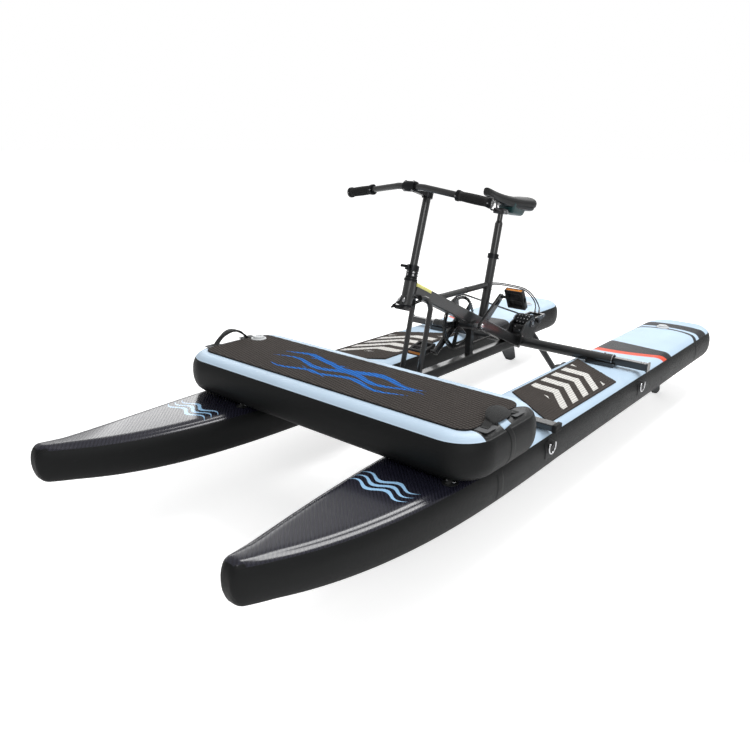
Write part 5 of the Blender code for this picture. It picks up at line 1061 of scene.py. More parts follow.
X, Y, Z = Vector((1, 0, 0)), Vector((0, 1, 0)), Vector((0, 0, 1))
top_tube_middle = Vector((0, -0.05, TOP_TUBE_Z))
beam_outline = square_outline(BEAM_AT_CRANK - BEAM_RUN * 0.36, X, BEAM_UP, BEAM_WIDTH / 2, BEAM_HEIGHT / 2)
beads = []
for outline, direction, node in (
    (round_outline(SEAT_FOOT + SEAT_AXIS * 0.06, SEAT_AXIS, SEAT_TUBE_RADIUS + 0.0004), -SEAT_AXIS, "main_beam"),
    (round_outline(top_tube_middle, Y, TOP_TUBE_RADIUS + 0.0004), Y, "seat_tube"),
    (round_outline(top_tube_middle, Y, TOP_TUBE_RADIUS + 0.0004), -Y, "main_beam"),
    (beam_outline, -BEAM_RUN, "head_tube"),
    (square_outline(Vector((0, STRUT_Y, 0.45)), X, Y, STRUT_SIZE / 2, STRUT_SIZE / 2), -Z, "keel_rail"),
    (round_outline(Vector((LEG_SPREAD, LEG_FOOT_Y + 0.001, 0.44)), Z, LEG_RADIUS), -Z, "front_crossbar"),
    (round_outline(Vector((-LEG_SPREAD, LEG_FOOT_Y + 0.001, 0.44)), Z, LEG_RADIUS), -Z, "front_crossbar"),
):
    points = landed(outline, direction, node)
    if len(points) > 8:
        beads.append(weld_bead("bead", points))
shell_x = 0.019 + 0.0005
for side in (PORT, STARBOARD):
    beads.append(weld_bead("bead", [
        CRANK_CENTRE + Vector((side * shell_x, 0.0215 * cos(a), 0.0215 * sin(a)))
        for a in [radians(-24.3 + d) for d in range(0, 181, 12)]
    ], cyclic=False))
    beads.append(weld_bead("bead", [
        Vector((side * KEEL_WIDTH / 2, -0.3098, KEEL_Z + KEEL_HEIGHT / 2 * (1 - 2 * i / 10))) for i in range(11)
    ], cyclic=False))
    beads.append(weld_bead("bead", [
        Vector((side * (BEAM_WIDTH / 2 + 0.001), y, z))
        for y, z in ((-0.318, 0.669), (-0.304, 0.668), (-0.292, 0.666))
    ], cyclic=False))
welds = joined("frame_welds", beads)
finished(welds, frame_coat, "boat", "frame_black", degrees=60)

# Socket-head bolts, one shape for all of them
BOLT_RADIUS, BOLT_HEIGHT = 0.0042, 0.0042


def bolt_shape():
    piece = begin("bolt")
    bpy.ops.mesh.primitive_cylinder_add(
        vertices=18, radius=BOLT_RADIUS, depth=BOLT_HEIGHT, location=(0, 0, BOLT_HEIGHT / 2)
    )
    pick(piece, lambda face: face.normal.z > 0.9)
    bpy.ops.mesh.inset(thickness=0.0006)
    bpy.ops.transform.translate(value=(0, 0, 0.0004))
    bpy.ops.mesh.inset(thickness=0.0012)
    bpy.ops.mesh.extrude_region_move(TRANSFORM_OT_translate={"value": (0, 0, -0.0024)})
    bpy.ops.mesh.primitive_cylinder_add(vertices=24, radius=BOLT_RADIUS * 1.55, depth=0.0010, location=(0, 0, 0.0004))
    mode("OBJECT")
    return piece


bolt_master = bolt_shape()
dark_steel = metal("blackened_steel", (0.085, 0.085, 0.09), 0.36)
bright_steel = metal("stainless_steel", (0.55, 0.55, 0.56), 0.26)


def bolts(name, body, places, scale=1.0):
    """Copies of the bolt at (point, direction) pairs, as one steel piece."""
    copies = []
    for point, direction in places:
        copy = bpy.data.objects.new("copy", bolt_master.data.copy())
        bpy.context.scene.collection.objects.link(copy)
        turn = Vector(direction).to_track_quat("Z", "Y").to_matrix().to_4x4()
        copy.data.transform(Matrix.Translation(point) @ turn @ Matrix.Scale(scale, 4))
        copies.append(copy)
    return finished(joined(name, copies), bright_steel, body, "steel")


crossbar_bolts = []
for side in (PORT, STARBOARD):
    for x in (HULL_X - 0.043, HULL_X + 0.043):
        crossbar_bolts.append((Vector((side * x, FRONT_BAR_Y, FRONT_BAR_TOP - 0.0003)), Z))
    crossbar_bolts.append((Vector((side * 0.417, REAR_BAR_Y, REAR_BAR_Z + 0.0222)), Z))
    crossbar_bolts.append((Vector((side * 0.575, REAR_BAR_Y, REAR_BAR_Z + 0.0122)), Z))
bolts("crossbar_bolts", "boat", crossbar_bolts)
PLUG_X, PLUG_DROP, PLUG_SIZE = 0.6005, 0.011, (0.0160, 0.0450, 0.0270)
caps = begin("front_bar_end_plugs")
for side in (PORT, STARBOARD):
    cube((side * PLUG_X, FRONT_BAR_Y, FRONT_BAR_TOP - PLUG_DROP), PLUG_SIZE)
rounded(0.0030, 3)
pick(caps, lambda face: abs(face.normal.x) > 0.99)
bpy.ops.mesh.inset(thickness=0.0030, use_individual=True)
bpy.ops.mesh.extrude_faces_move(TRANSFORM_OT_shrink_fatten={"value": -0.0012})
finished(caps, black_rubber, "boat", "rubber", degrees=45)

# A yellow tape over the top of the beam, behind the head
TAPE_START, TAPE_END, TAPE_SIDE = -0.336, -0.246, 0.0145
finish = Finish("yellow_tape", 0.35)
worked = finish.marked(60.0, 1500.0)
shade = finish.tint(worked["Patches"], (0.78, 0.73, 0.17), (0.95, 0.91, 0.34))
yellow_tape = finish.done(shade, None, finish.bump(worked["Specks"], 0.0001))
tape = begin("beam_tape")
tape_middle = BEAM_AT_CRANK + BEAM_RUN * (((TAPE_START + TAPE_END) / 2 - 0.066) / BEAM_RUN.y)
tape_middle += BEAM_UP * ((BEAM_HEIGHT - TAPE_SIDE) / 2 + 0.0004)
cube(tape_middle, (BEAM_WIDTH + 0.0008, (TAPE_END - TAPE_START) / BEAM_RUN.y, TAPE_SIDE), (-BEAM_SLOPE, 0, 0))
pick(tape, lambda face: abs(face.normal.x) > 0.9 or face.normal.dot(BEAM_UP) > 0.9)
select("INVERT")
bpy.ops.mesh.delete(type="FACE")
rounded(0.0042, 3)
mode("OBJECT")
modified(tape, "SOLIDIFY", thickness=0.0003, offset=1.0)
finished(tape, yellow_tape, "boat", "plastic")


# Steering head: a head tube with two pressed cups, and the tube that turns in it under a split collar with a
# quick-release lever. Two cables leave barrel adjusters on its front and run back beside the beam.
black_alloy = metal("black_anodised_alloy", (0.030, 0.031, 0.033), 0.30)
carried_over(
    black_alloy, "column_collar", "column_lever", "stem", "seat_collar", "seat_lever", "gearbox", "drive_leg",
    "leg_foot"
)
carried_over(black_rubber, "steering_cable_1", "steering_cable_2")
HEAD_LENGTH, HEAD_RADIUS, HEAD_CUP, HEAD_CUP_LIP = 0.103, 0.0215, 0.010, 0.002
STEERER_RADIUS, COLLAR_BASE = 0.0170, 0.130
CABLE_RADIUS, CABLE_SPACING, CABLE_START = 0.0027, 0.0062, Vector((-0.0223, -0.325, 0.638))

cup_profile = [
    (HEAD_RADIUS, 0.0004), (HEAD_RADIUS + HEAD_CUP_LIP + 0.0006, 0.0012),
    (HEAD_RADIUS + HEAD_CUP_LIP + 0.0008, 0.004), (HEAD_RADIUS + HEAD_CUP_LIP + 0.0004, 0.0046),
    (HEAD_RADIUS + HEAD_CUP_LIP + 0.0008, 0.0052), (HEAD_RADIUS + HEAD_CUP_LIP + 0.0006, HEAD_CUP - 0.0008),
    (HEAD_RADIUS + 0.0002, HEAD_CUP + 0.0004),
]
for end, base, axis in (("lower", HEAD_BASE, HEAD_AXIS), ("upper", HEAD_BASE + HEAD_AXIS * HEAD_LENGTH, -HEAD_AXIS)):
    cup = turned(f"{end}_head_cup", cup_profile, base, axis)
    finished(cup, black_alloy, "boat", "alloy_black", degrees=40)
ring_base = HEAD_BASE + HEAD_AXIS * (HEAD_LENGTH + 0.0008)
knurled = turned("steerer_lock_ring", [
    (STEERER_RADIUS + 0.0002, 0), (0.0208, 0), (0.0214, 0.0008), (0.0214, 0.0062), (0.0206, 0.0070),
    (STEERER_RADIUS + 0.0002, 0.0070)
], ring_base, HEAD_AXIS, steps=64)
mode("EDIT")
turn_back = HEAD_AXIS.to_track_quat("Z", "Y").to_matrix().inverted()


def around(face, centre, teeth):
    place = turn_back @ (face.calc_center_median() - centre)
    return round(atan2(place.y, place.x) * teeth / pi) % 2


pick(knurled, lambda face: abs(face.normal.dot(HEAD_AXIS)) < 0.2 and around(face, ring_base, 32)
     and (face.calc_center_median() - ring_base).cross(HEAD_AXIS).length > 0.0205)
bpy.ops.mesh.extrude_faces_move(TRANSFORM_OT_shrink_fatten={"value": -0.0006})
finished(knurled, black_alloy, "steering_head", "alloy_black", degrees=40)

barrel_profile = [
    (0, 0), (0.0030, 0), (0.0034, 0.0006), (0.0034, 0.0060), (0.0044, 0.0066), (0.0044, 0.0080), (0.0038, 0.0084),
    (0.0044, 0.0088), (0.0044, 0.0102), (0.0038, 0.0106), (0.0044, 0.0110), (0.0044, 0.0124), (0.0034, 0.0132),
    (0.0030, 0.0170), (0, 0.0172),
]
adjusters = []
for number, side in enumerate((PORT, STARBOARD)):
    start = HEAD_BASE + HEAD_FORWARD * (HEAD_RADIUS + 0.0062) + HEAD_AXIS * 0.030 + X * (side * 0.0085)
    way = (-HEAD_AXIS + HEAD_FORWARD * 0.55 + X * (side * 0.25)).normalized()
    adjusters.append(turned("adjuster", barrel_profile, start, way, steps=24))
    foot = start + way * 0.016
    loop = [
        foot, foot + way * 0.012, foot + way * 0.018 + X * -0.006 + Y * 0.003,
        Vector((-0.030 - 0.004 * number, -0.404 + 0.006 * number, 0.652)),
        Vector((-0.0425, -0.380, 0.648 + 0.004 * number)),
        Vector((-0.0415, -0.362, 0.645 + 0.005 * number)),
        CABLE_START + Vector((-0.0050, -0.016, 0.001 + CABLE_SPACING * number)),
        CABLE_START + Vector((0, -0.002, CABLE_SPACING * number)),
    ]
    fine = []
    controls = [loop[0] * 2 - loop[1]] + loop + [loop[-1] * 2 - loop[-2]]
    for a, b, c, d in zip(controls, controls[1:], controls[2:], controls[3:]):
        for step in range(8):
            t = step / 8
            curved = (2 * a - 5 * b + 4 * c - d) * t * t + (3 * b - a - 3 * c + d) * t ** 3
            fine.append(0.5 * (2 * b + (c - a) * t + curved))
    lead = tube_along(f"cable_lead_{number + 1}", fine + [loop[-1]], CABLE_RADIUS, sides=10)
    finished(lead, black_rubber, "boat", "rubber", degrees=60)
    ferrule = turned(f"cable_ferrule_{number + 1}", [(0.0026, 0), (0.0036, 0.0004), (0.0036, 0.0110), (0.0026, 0.0124)],
                     CABLE_START + Vector((0, -0.006, CABLE_SPACING * number)), Y, steps=20)
    finished(ferrule, black_alloy, "boat", "alloy_black", degrees=50)
barrels = joined("barrel_adjusters", adjusters)
finished(barrels, bright_steel, "boat", "steel", degrees=40)
bracket = begin("adjuster_bracket")
bracket_middle = HEAD_BASE + HEAD_FORWARD * (HEAD_RADIUS + 0.0035) + HEAD_AXIS * 0.0215
cube(bracket_middle, (0.034, 0.019, 0.033), (-HEAD_TILT, 0, 0))
pick(bracket, lambda face: face.normal.dot(HEAD_AXIS) > 0.9)
bracket_back = HEAD_BASE + HEAD_FORWARD * (HEAD_RADIUS - 0.006) + HEAD_AXIS * 0.038
bpy.ops.transform.resize(value=(0.72, 0.35, 1.0), center_override=bracket_back)
rounded(0.0035, 3)
finished(bracket, frame_coat, "boat", "frame_black", degrees=60)
clamp_low = HEAD_LENGTH + 0.0084
clamp_ring = turned("steerer_clamp", [
    (STEERER_RADIUS + 0.0002, clamp_low), (0.0205, clamp_low), (0.0212, clamp_low + 0.0010),
    (0.0212, clamp_low + 0.0062), (0.0203, clamp_low + 0.0070), (0.0203, clamp_low + 0.0084),
    (0.0212, clamp_low + 0.0092), (0.0212, COLLAR_BASE - 0.0020), (0.0205, COLLAR_BASE - 0.0012),
    (STEERER_RADIUS + 0.0002, COLLAR_BASE - 0.0012),
], HEAD_BASE, HEAD_AXIS, steps=56)
finished(clamp_ring, black_alloy, "steering_head", "alloy_black", degrees=40)
places = []
for height in (clamp_low + 0.0036, COLLAR_BASE - 0.0052):
    for degrees in (-100, -40, 20, 140):
        way = X * cos(radians(degrees)) - HEAD_FORWARD * sin(radians(degrees))
        places.append((HEAD_BASE + HEAD_AXIS * height + way * 0.0206, way))
bolts("steerer_clamp_screws", "steering_head", places, scale=0.62)


# Handlebar: a stem clamps the bar behind a faceplate with four screws. The grips are ribbed rubber sleeves
# between alloy lock rings, with a plug in each end.
COLUMN_TOP, COLUMN_RADIUS, STEM_LENGTH, STEM_HEIGHT = 0.420, 0.0140, 0.105, 0.030
STEM_CLAMP_LENGTH, STEM_CLAMP_RADIUS = 0.050, 0.0169
BAR_HALF, BAR_BACK, BAR_DROP, BAR_STRAIGHT, BAR_RADIUS = 0.297, 0.032, 0.037, 0.045, 0.0111
GRIP_LENGTH, GRIP_RADIUS, GRIP_RING_RADIUS, GRIP_RING_LENGTH, GRIP_END = 0.126, 0.0160, 0.0185, 0.010, 0.004
BAR_CENTRE = HEAD_BASE + HEAD_AXIS * (COLUMN_TOP - STEM_HEIGHT / 2 - 0.002) + HEAD_FORWARD * STEM_LENGTH

plate = begin("stem_faceplate")
bpy.ops.mesh.primitive_cylinder_add(
    vertices=56, radius=STEM_CLAMP_RADIUS + 0.0016, depth=STEM_CLAMP_LENGTH - 0.004, location=BAR_CENTRE,
    rotation=(0, pi / 2, 0), end_fill_type="NOTHING",
)
pick(plate, lambda face: (face.calc_center_median() - BAR_CENTRE).normalized().dot(HEAD_FORWARD) < 0.22)
bpy.ops.mesh.delete(type="FACE")
mode("OBJECT")
modified(plate, "SOLIDIFY", thickness=0.0014, offset=-1.0)
modified(plate, "BEVEL", width=0.0005, segments=2)
finished(plate, black_alloy, "handlebar", "alloy_black")
places = []
for sx in (-1, 1):
    for way in (1, -1):
        spot = BAR_CENTRE + X * (sx * 0.017) + HEAD_AXIS * (way * 0.0145) + HEAD_FORWARD * 0.0095
        places.append((spot, (HEAD_FORWARD + HEAD_AXIS * way * 0.35).normalized()))
bolts("faceplate_bolts", "handlebar", places, scale=0.8)
places = []
for rise in (0.008, 0.022):
    at = HEAD_BASE + HEAD_AXIS * (COLUMN_TOP - STEM_HEIGHT - 0.002 + rise) - HEAD_FORWARD * (COLUMN_RADIUS + 0.0052)
    places.append((at + X * 0.0001, -HEAD_FORWARD))
bolts("stem_pinch_bolts", "handlebar", places, scale=0.8)
cap = turned("column_cap", [
    (0, 0.0030), (0.0095, 0.0030), (0.0130, 0.0022), (0.0137, 0.0004), (0.0137, 0.0001), (0, 0.0001),
], HEAD_BASE + HEAD_AXIS * COLUMN_TOP, HEAD_AXIS)
finished(cap, black_alloy, "handlebar", "alloy_black", degrees=50)

grip_rubber = moulded("grip_rubber", (0.016, 0.016, 0.0165), 0.72, depth=0.00015, Specular_IOR_Level=0.35)
plug_plastic = moulded("plug_plastic", (0.012, 0.012, 0.0125), 0.34)
pale_plastic = moulded("pale_plastic", (0.66, 0.67, 0.68), 0.32)
for label, side in SIDES:
    knee = BAR_CENTRE + Vector((side * BAR_STRAIGHT, 0, 0))
    end = BAR_CENTRE + Vector((side * BAR_HALF, BAR_BACK, -BAR_DROP))
    outwards = (end - knee).normalized()
    foot = end + outwards * (GRIP_END + 0.0003 - GRIP_LENGTH)
    inner, ring = BAR_RADIUS + 0.0004, GRIP_RING_LENGTH
    profile = [(inner, ring + 0.0003), (GRIP_RADIUS, ring + 0.0003), (GRIP_RADIUS + 0.0008, ring + 0.0020),
               (GRIP_RADIUS + 0.0008, ring + 0.0070), (GRIP_RADIUS - 0.0002, ring + 0.0090)]
    at = ring + 0.0100
    while at < GRIP_LENGTH - ring - 0.0110:
        swell = 0.0012 * sin(pi * (at - ring) / (GRIP_LENGTH - 2 * ring))
        base = GRIP_RADIUS - 0.0012 + swell
        profile += [(base - 0.0006, at), (base - 0.0006, at + 0.0008)]
        profile += [(base + 0.0005, at + 0.0012), (base + 0.0005, at + 0.0028)]
        at += 0.0032
    profile += [(GRIP_RADIUS - 0.0004, at + 0.0006), (GRIP_RADIUS + 0.0008, GRIP_LENGTH - ring - 0.0060),
                (GRIP_RADIUS + 0.0008, GRIP_LENGTH - ring - 0.0010), (GRIP_RADIUS, GRIP_LENGTH - ring - 0.0003),
                (inner, GRIP_LENGTH - ring - 0.0003)]
    grip = turned(f"{label}_grip_sleeve", profile, foot, outwards, steps=40)
    finished(grip, grip_rubber, "handlebar", "rubber", f"{label}_grip", degrees=40)
    rings = []
    for offset in (0.0, GRIP_LENGTH - ring):
        rings.append(turned("ring", [
            (inner, 0.0002), (GRIP_RING_RADIUS - 0.0008, 0.0002), (GRIP_RING_RADIUS, 0.0010),
            (GRIP_RING_RADIUS, 0.0042), (GRIP_RING_RADIUS - 0.0005, 0.0047), (GRIP_RING_RADIUS, 0.0052),
            (GRIP_RING_RADIUS, ring - 0.0010), (GRIP_RING_RADIUS - 0.0008, ring - 0.0002), (inner, ring - 0.0002),
            (inner, 0.0002),
        ], foot + outwards * offset, outwards, steps=40))
    locks = joined(f"{label}_lock_rings", rings)
    finished(locks, black_alloy, "handlebar", "alloy_black", degrees=40)
    spots = []
    for offset in (ring / 2, GRIP_LENGTH - ring / 2):
        spots.append((foot + outwards * offset - Y * (GRIP_RING_RADIUS - 0.0012), -Y))
    bolts(f"{label}_lock_ring_screws", "handlebar", spots, scale=0.55)
    plug = turned(f"{label}_bar_plug", [
        (0, 0.0002), (0.0142, 0.0002), (0.0148, 0.0014), (0.0140, 0.0026), (0.0118, 0.0030), (0.0108, 0.0022),
        (0.0062, 0.0022), (0.0052, 0.0030), (0, 0.0031),
    ], foot + outwards * GRIP_LENGTH, outwards, steps=36)
    mode("EDIT")
    plug_turn = outwards.to_track_quat("Z", "Y").to_matrix().inverted()
    tip = foot + outwards * GRIP_LENGTH

    def on_spoke(face):
        place = plug_turn @ (face.calc_center_median() - tip)
        return 0.0062 < place.xy.length < 0.0108 and round(to_degrees(atan2(place.y, place.x)) / 30) % 2

    plug.data.materials.append(plug_plastic)
    plug.data.materials.append(pale_plastic)
    pick(plug, on_spoke)
    bpy.ops.mesh.extrude_region_move(TRANSFORM_OT_translate={"value": tuple(outwards * 0.0008)})
    plug.active_material_index = 1
    bpy.ops.object.material_slot_assign()
    finished(plug, None, "handlebar", "plastic", degrees=40)


# Saddle: stretched vinyl over foam on a moulded plastic shell, with a sewn edge, a relief channel along the
# top and a bumper at the tail. It is carried on two steel rails, which a clamp on the seatpost grips.
SADDLE_NOSE_Y, SADDLE_LENGTH, SADDLE_NOSE_Z, SADDLE_FALL = 0.141, 0.300, 1.046, 0.050
SADDLE_WIDTH, SADDLE_NOSE_WIDTH, SADDLE_DEPTH, SADDLE_DIP = 0.168, 0.042, 0.054, 0.013
POST_TOP_Z = 0.935


def saddle_line(along):
    """The saddle's half width, top and depth at this share of its length from the nose."""
    spread = max(0.0, (along - 0.25) / 0.75)
    half = SADDLE_NOSE_WIDTH / 2 + (SADDLE_WIDTH - SADDLE_NOSE_WIDTH) / 2 * spread ** 1.15
    half *= min(1.0, 0.72 + along * 9) * min(1.0, 0.74 + (1 - along) * 6)
    crown = SADDLE_NOSE_Z - SADDLE_FALL * along - SADDLE_DIP * sin(pi * along)
    return half, crown, SADDLE_DEPTH * (0.62 + 0.38 * along)


ALONGS = [0.0, 0.03, 0.12, 0.24, 0.38, 0.52, 0.66, 0.80, 0.91, 0.975, 1.0]
rows = []
for along in ALONGS:
    half, crown, depth = saddle_line(along)
    y = SADDLE_NOSE_Y + SADDLE_LENGTH * along
    channel = 0.0042 * sin(pi * min(1.0, max(0.0, (along - 0.10) / 0.80))) ** 0.6
    right = [
        (0.09, -0.6 * channel), (0.20, 0.0004), (0.60, -0.0015), (0.88, -depth * 0.15), (1.0, -depth * 0.40),
        (0.97, -depth * 0.66), (0.90, -depth * 0.84),
    ]
    low = [(0.55, -depth * 0.90), (0, -depth * 0.86)]
    ring = [(0, crown - channel)] + [(half * u, crown + w) for u, w in right + low]
    ring += [(-x, z) for x, z in reversed(ring[1:-1])]
    rows.append([(x, y, z) for x, z in ring])
saddle = skin_over("saddle_cover", rows)
mode("EDIT")
pick(saddle, lambda face: abs(face.normal.y) > 0.9 and len(face.verts) > 4)
bpy.ops.mesh.inset(thickness=0.004)
mode("OBJECT")
modified(saddle, "SUBSURF", levels=3, render_levels=3)
finish = Finish("saddle_vinyl", 0.40, Coat_Weight=0.10, Coat_Roughness=0.3, Specular_IOR_Level=0.35)
worked = finish.marked(14.0, 1100.0)
grain = finish.tree.nodes.new("ShaderNodeTexVoronoi")
grain.inputs["Scale"].default_value = 620.0
finish.tree.links.new(finish.place, grain.inputs["Vector"])
shade = finish.tint(worked["Patches"], (0.012, 0.0125, 0.013), (0.020, 0.0205, 0.021))
shade = finish.tint(calc("MULTIPLY", worked["Scuffs"], 0.3), shade, (0.085, 0.085, 0.087))
rough = finish.range(worked["Patches"], 0.36, 0.52)
saddle_vinyl = finish.done(shade, rough, finish.bump(grain.outputs["Distance"], 0.00022))
finished(saddle, saddle_vinyl, "seat", "rubber", "saddle", degrees=60)

piping = []
for side in (PORT, STARBOARD):
    for i in range(33):
        along = 0.985 - 0.97 * i / 32 if side == PORT else 0.015 + 0.97 * i / 32
        half, crown, depth = saddle_line(along)
        start = Vector((side * 0.2, SADDLE_NOSE_Y + SADDLE_LENGTH * along, crown - depth * 0.46))
        hit, point, _, _ = saddle.ray_cast(start, Vector((-side, 0, 0)))
        if hit:
            piping.append(point)
welt = tube_along("saddle_piping", piping, 0.0011, cyclic=True, sides=8)
finished(welt, black_rubber, "seat", "rubber", degrees=60)

rows = []
for along in [0.06, 0.08, 0.14, 0.26, 0.40, 0.55, 0.70, 0.84, 0.93, 0.965, 0.98]:
    half, crown, depth = saddle_line(along)
    edge = min(1.0, 0.55 + (along - 0.06) * 12) * min(1.0, 0.6 + (0.98 - along) * 12)
    y = SADDLE_NOSE_Y + SADDLE_LENGTH * along
    half *= edge * 0.93
    drop = 0.0005 + 0.006 * max(0.0, (along - 0.45) / 0.55)
    ring = [(0, -0.80), (0.60, -0.82), (0.97, -0.72), (1.0, -0.80), (0.95, -0.93), (0.62, -1.0), (0, -0.98)]
    ring = [(half * u, crown + depth * w - (drop if w < -0.85 else 0)) for u, w in ring]
    ring += [(-x, z) for x, z in reversed(ring[1:-1])]
    rows.append([(x, y, z) for x, z in ring])
shell = skin_over("saddle_shell", rows)
modified(shell, "SUBSURF", levels=2, render_levels=2)
shell_plastic = moulded("shell_plastic", (0.010, 0.013, 0.014), 0.30)
finished(shell, shell_plastic, "seat", "plastic", degrees=60)

carried_over(bright_steel, "crank_spindle", "sprocket")
carried_over(dark_steel, "saddle_rails")
post_top = SEAT_FOOT + SEAT_AXIS * ((POST_TOP_Z - SEAT_FOOT.z) / SEAT_AXIS.z)
clamp_middle = post_top + Vector((0, 0, 0.0119))
bolts("saddle_clamp_bolts", "seat", [
    (clamp_middle + Vector((side * 0.0238, y, -0.002)), X * side)
    for side in (PORT, STARBOARD) for y in (-0.010, 0.010)
], scale=0.9)
TRAY_Y, TRAY_BOTTOM = 0.350, 0.928
tray = begin("saddle_tray")
cube((0, TRAY_Y, 0.9520), (0.090, 0.118, 0.048), (-atan(SADDLE_FALL / SADDLE_LENGTH), 0, 0))
pick(tray, lambda face: face.normal.z < -0.9)
bpy.ops.transform.resize(value=(0.70, 0.80, 1.0), center_override=(0, TRAY_Y, TRAY_BOTTOM))
rounded(0.011, 6)
# The tray is a dark elastomer whose teal tint is a painted reflection
finished(tray, moulded("elastomer_with_painted_teal_reflection", (0.008, 0.052, 0.055), 0.38), "seat", "plastic", degrees=60)


# Cranks: the CAD arms and chainring stay. They get dust caps over the spindle's bolts, and chainring bolts.
CRANK_ANGLE, CRANK_LENGTH, CRANK_X, CRANK_THICKNESS = radians(35.0), 0.175, 0.052, 0.013
CHAIN_X, SPIDER_OUTER_X = -0.046, -0.0585
carried_over(powder_coat("crank_enamel", (0.0050, 0.0050, 0.0055), 0.20), "port_crank", "starboard_crank", "chainring")
caps = []
for side in (PORT, STARBOARD):
    caps.append(turned("cap", [
        (0, 0.0006), (0.0030, 0.0006), (0.0034, 0.0022), (0.0060, 0.0024), (0.0098, 0.0020), (0.0108, 0.0008),
        (0.0108, 0.0001), (0, 0.0001),
    ], CRANK_CENTRE + X * (side * (CRANK_X + CRANK_THICKNESS)), X * side, steps=36))
dust_caps = joined("crank_dust_caps", caps)
finished(dust_caps, chrome, "crankset", "steel", degrees=40)
spots = []
for step in range(5):
    angle = CRANK_ANGLE + pi + radians(36 + 72 * step)
    y, z = CRANK_CENTRE.y + 0.0208 * cos(angle), CRANK_CENTRE.z + 0.0208 * sin(angle)
    spots.append((Vector((SPIDER_OUTER_X, y, z)), -X))
bolts("chainring_bolts", "crankset", spots, scale=0.85)


# Pedals: black moulded resin bodies on steel axles, with an open cage of ribs and teeth for the shoe, and an
# orange reflector let into each end.
PEDAL_INNER, PEDAL_WIDTH, PEDAL_LENGTH, PEDAL_HEIGHT, PEDAL_AXLE = 0.087, 0.082, 0.090, 0.026, 0.006
PEDAL_TILT = {"port": radians(-62.0), "starboard": radians(12.0)}
pedal_resin = moulded("pedal_resin", (0.010, 0.010, 0.0105), 0.34, Specular_IOR_Level=0.35)
finish = Finish("orange_reflector", 0.08, Transmission_Weight=0.25, IOR=1.49, Coat_Weight=1.0, Coat_Roughness=0.03)
cells = [calc("FRACT", calc("DIVIDE", a, 0.0032)) for a in (finish.x, calc("ADD", finish.y, finish.z))]
prism = calc("ABSOLUTE", calc("SUBTRACT", cells[0], cells[1]))
worked = finish.marked(60.0, 1200.0)
shade = finish.tint(prism, (0.95, 0.34, 0.03), (0.72, 0.13, 0.008))
shade = finish.tint(calc("MULTIPLY", worked["Patches"], 0.3), shade, (0.98, 0.50, 0.10))
orange_reflector = finish.done(shade, None, finish.bump(prism, 0.0006))
for label, side in SIDES:
    axle = CRANK_CENTRE + side * CRANK_LENGTH * Vector((0, cos(CRANK_ANGLE), sin(CRANK_ANGLE)))
    centre = axle + X * (side * (PEDAL_INNER + PEDAL_WIDTH / 2))
    tilt = Matrix.Translation(centre) @ Matrix.Rotation(PEDAL_TILT[label], 4, "X")
    half_w, half_l, half_h = PEDAL_WIDTH / 2, PEDAL_LENGTH / 2, PEDAL_HEIGHT / 2
    body = begin(f"{label}_pedal_body")
    for x, y, w, l, h in (
        (0, half_l - 0.0075, PEDAL_WIDTH - 0.001, 0.015, PEDAL_HEIGHT - 0.003),
        (0, -half_l + 0.0075, PEDAL_WIDTH - 0.001, 0.015, PEDAL_HEIGHT - 0.003),
        (-half_w + 0.006, 0, 0.012, PEDAL_LENGTH - 0.022, PEDAL_HEIGHT - 0.004),
        (half_w - 0.006, 0, 0.012, PEDAL_LENGTH - 0.022, PEDAL_HEIGHT - 0.004),
        (-0.0125, 0, 0.0040, PEDAL_LENGTH - 0.022, PEDAL_HEIGHT - 0.009),
        (0.0125, 0, 0.0040, PEDAL_LENGTH - 0.022, PEDAL_HEIGHT - 0.009),
        (0, 0, PEDAL_WIDTH - 0.016, PEDAL_LENGTH - 0.024, 0.0090),
    ):
        cube((x, y, 0), (w, l, h))
    rounded(0.0030, 3)
    pick(body, lambda face: abs(face.normal.y) > 0.95 and abs(face.calc_center_median().y) > half_l - 0.002
         and face.calc_area() > 0.0004)
    bpy.ops.mesh.inset(thickness=0.0022, use_individual=True)
    bpy.ops.mesh.extrude_faces_move(TRANSFORM_OT_shrink_fatten={"value": -0.0026})
    mode("OBJECT")
    barrel = turned("barrel", [
        (PEDAL_AXLE + 0.0005, -half_w), (0.0105, -half_w), (0.0110, -half_w + 0.001), (0.0110, -0.012),
        (0.0092, -0.009), (0.0092, 0.009), (0.0110, 0.012), (0.0110, half_w - 0.001), (0.0105, half_w),
        (0.0004, half_w),
    ], (0, 0, 0), X * side, steps=32)
    teeth = []
    for y in (half_l - 0.0075, -half_l + 0.0075):
        for i in range(8):
            for up in (1, -1):
                x = -half_w + 0.008 + (PEDAL_WIDTH - 0.016) * i / 7
                teeth.append(((x, y, up * (half_h - 0.0020)), (0.0042, 0.0090, 0.0034)))
    for x in (-half_w + 0.006, half_w - 0.006):
        for i in range(7):
            for up in (1, -1):
                teeth.append(((x, -0.027 + 0.009 * i, up * (half_h - 0.0024)), (0.0074, 0.0034, 0.0030)))
    studs = begin("studs")
    for place, size in teeth:
        cube(place, size)
    rounded(0.0007, 1)
    mode("OBJECT")
    body = joined(f"{label}_pedal_body", [body, barrel, studs])
    body.data.transform(tilt)
    finished(body, pedal_resin, f"{label}_pedal", "plastic", f"{label}_pedal", degrees=45)
    lens = begin(f"{label}_pedal_reflectors")
    for end in (1, -1):
        cube((0, end * (half_l - 0.0017), 0), (PEDAL_WIDTH - 0.0125, 0.0026, PEDAL_HEIGHT - 0.0145))
    rounded(0.0009, 2)
    mode("OBJECT")
    lens.data.transform(tilt)
    finished(lens, orange_reflector, f"{label}_pedal", "plastic", degrees=45)


# Chain: half-inch links, outer and inner plates in turn over rollers, round the chainring and the sprocket.
DRIVE_CENTRE = Vector((0, 0.548, 0.430))
CHAIN_PITCH, CHAINRING_TEETH, SPROCKET_TEETH = 0.0127, 54, 14
CHAIN_LINE = 0.0044         # of the pins above the pitch circles, the middle of the CAD band


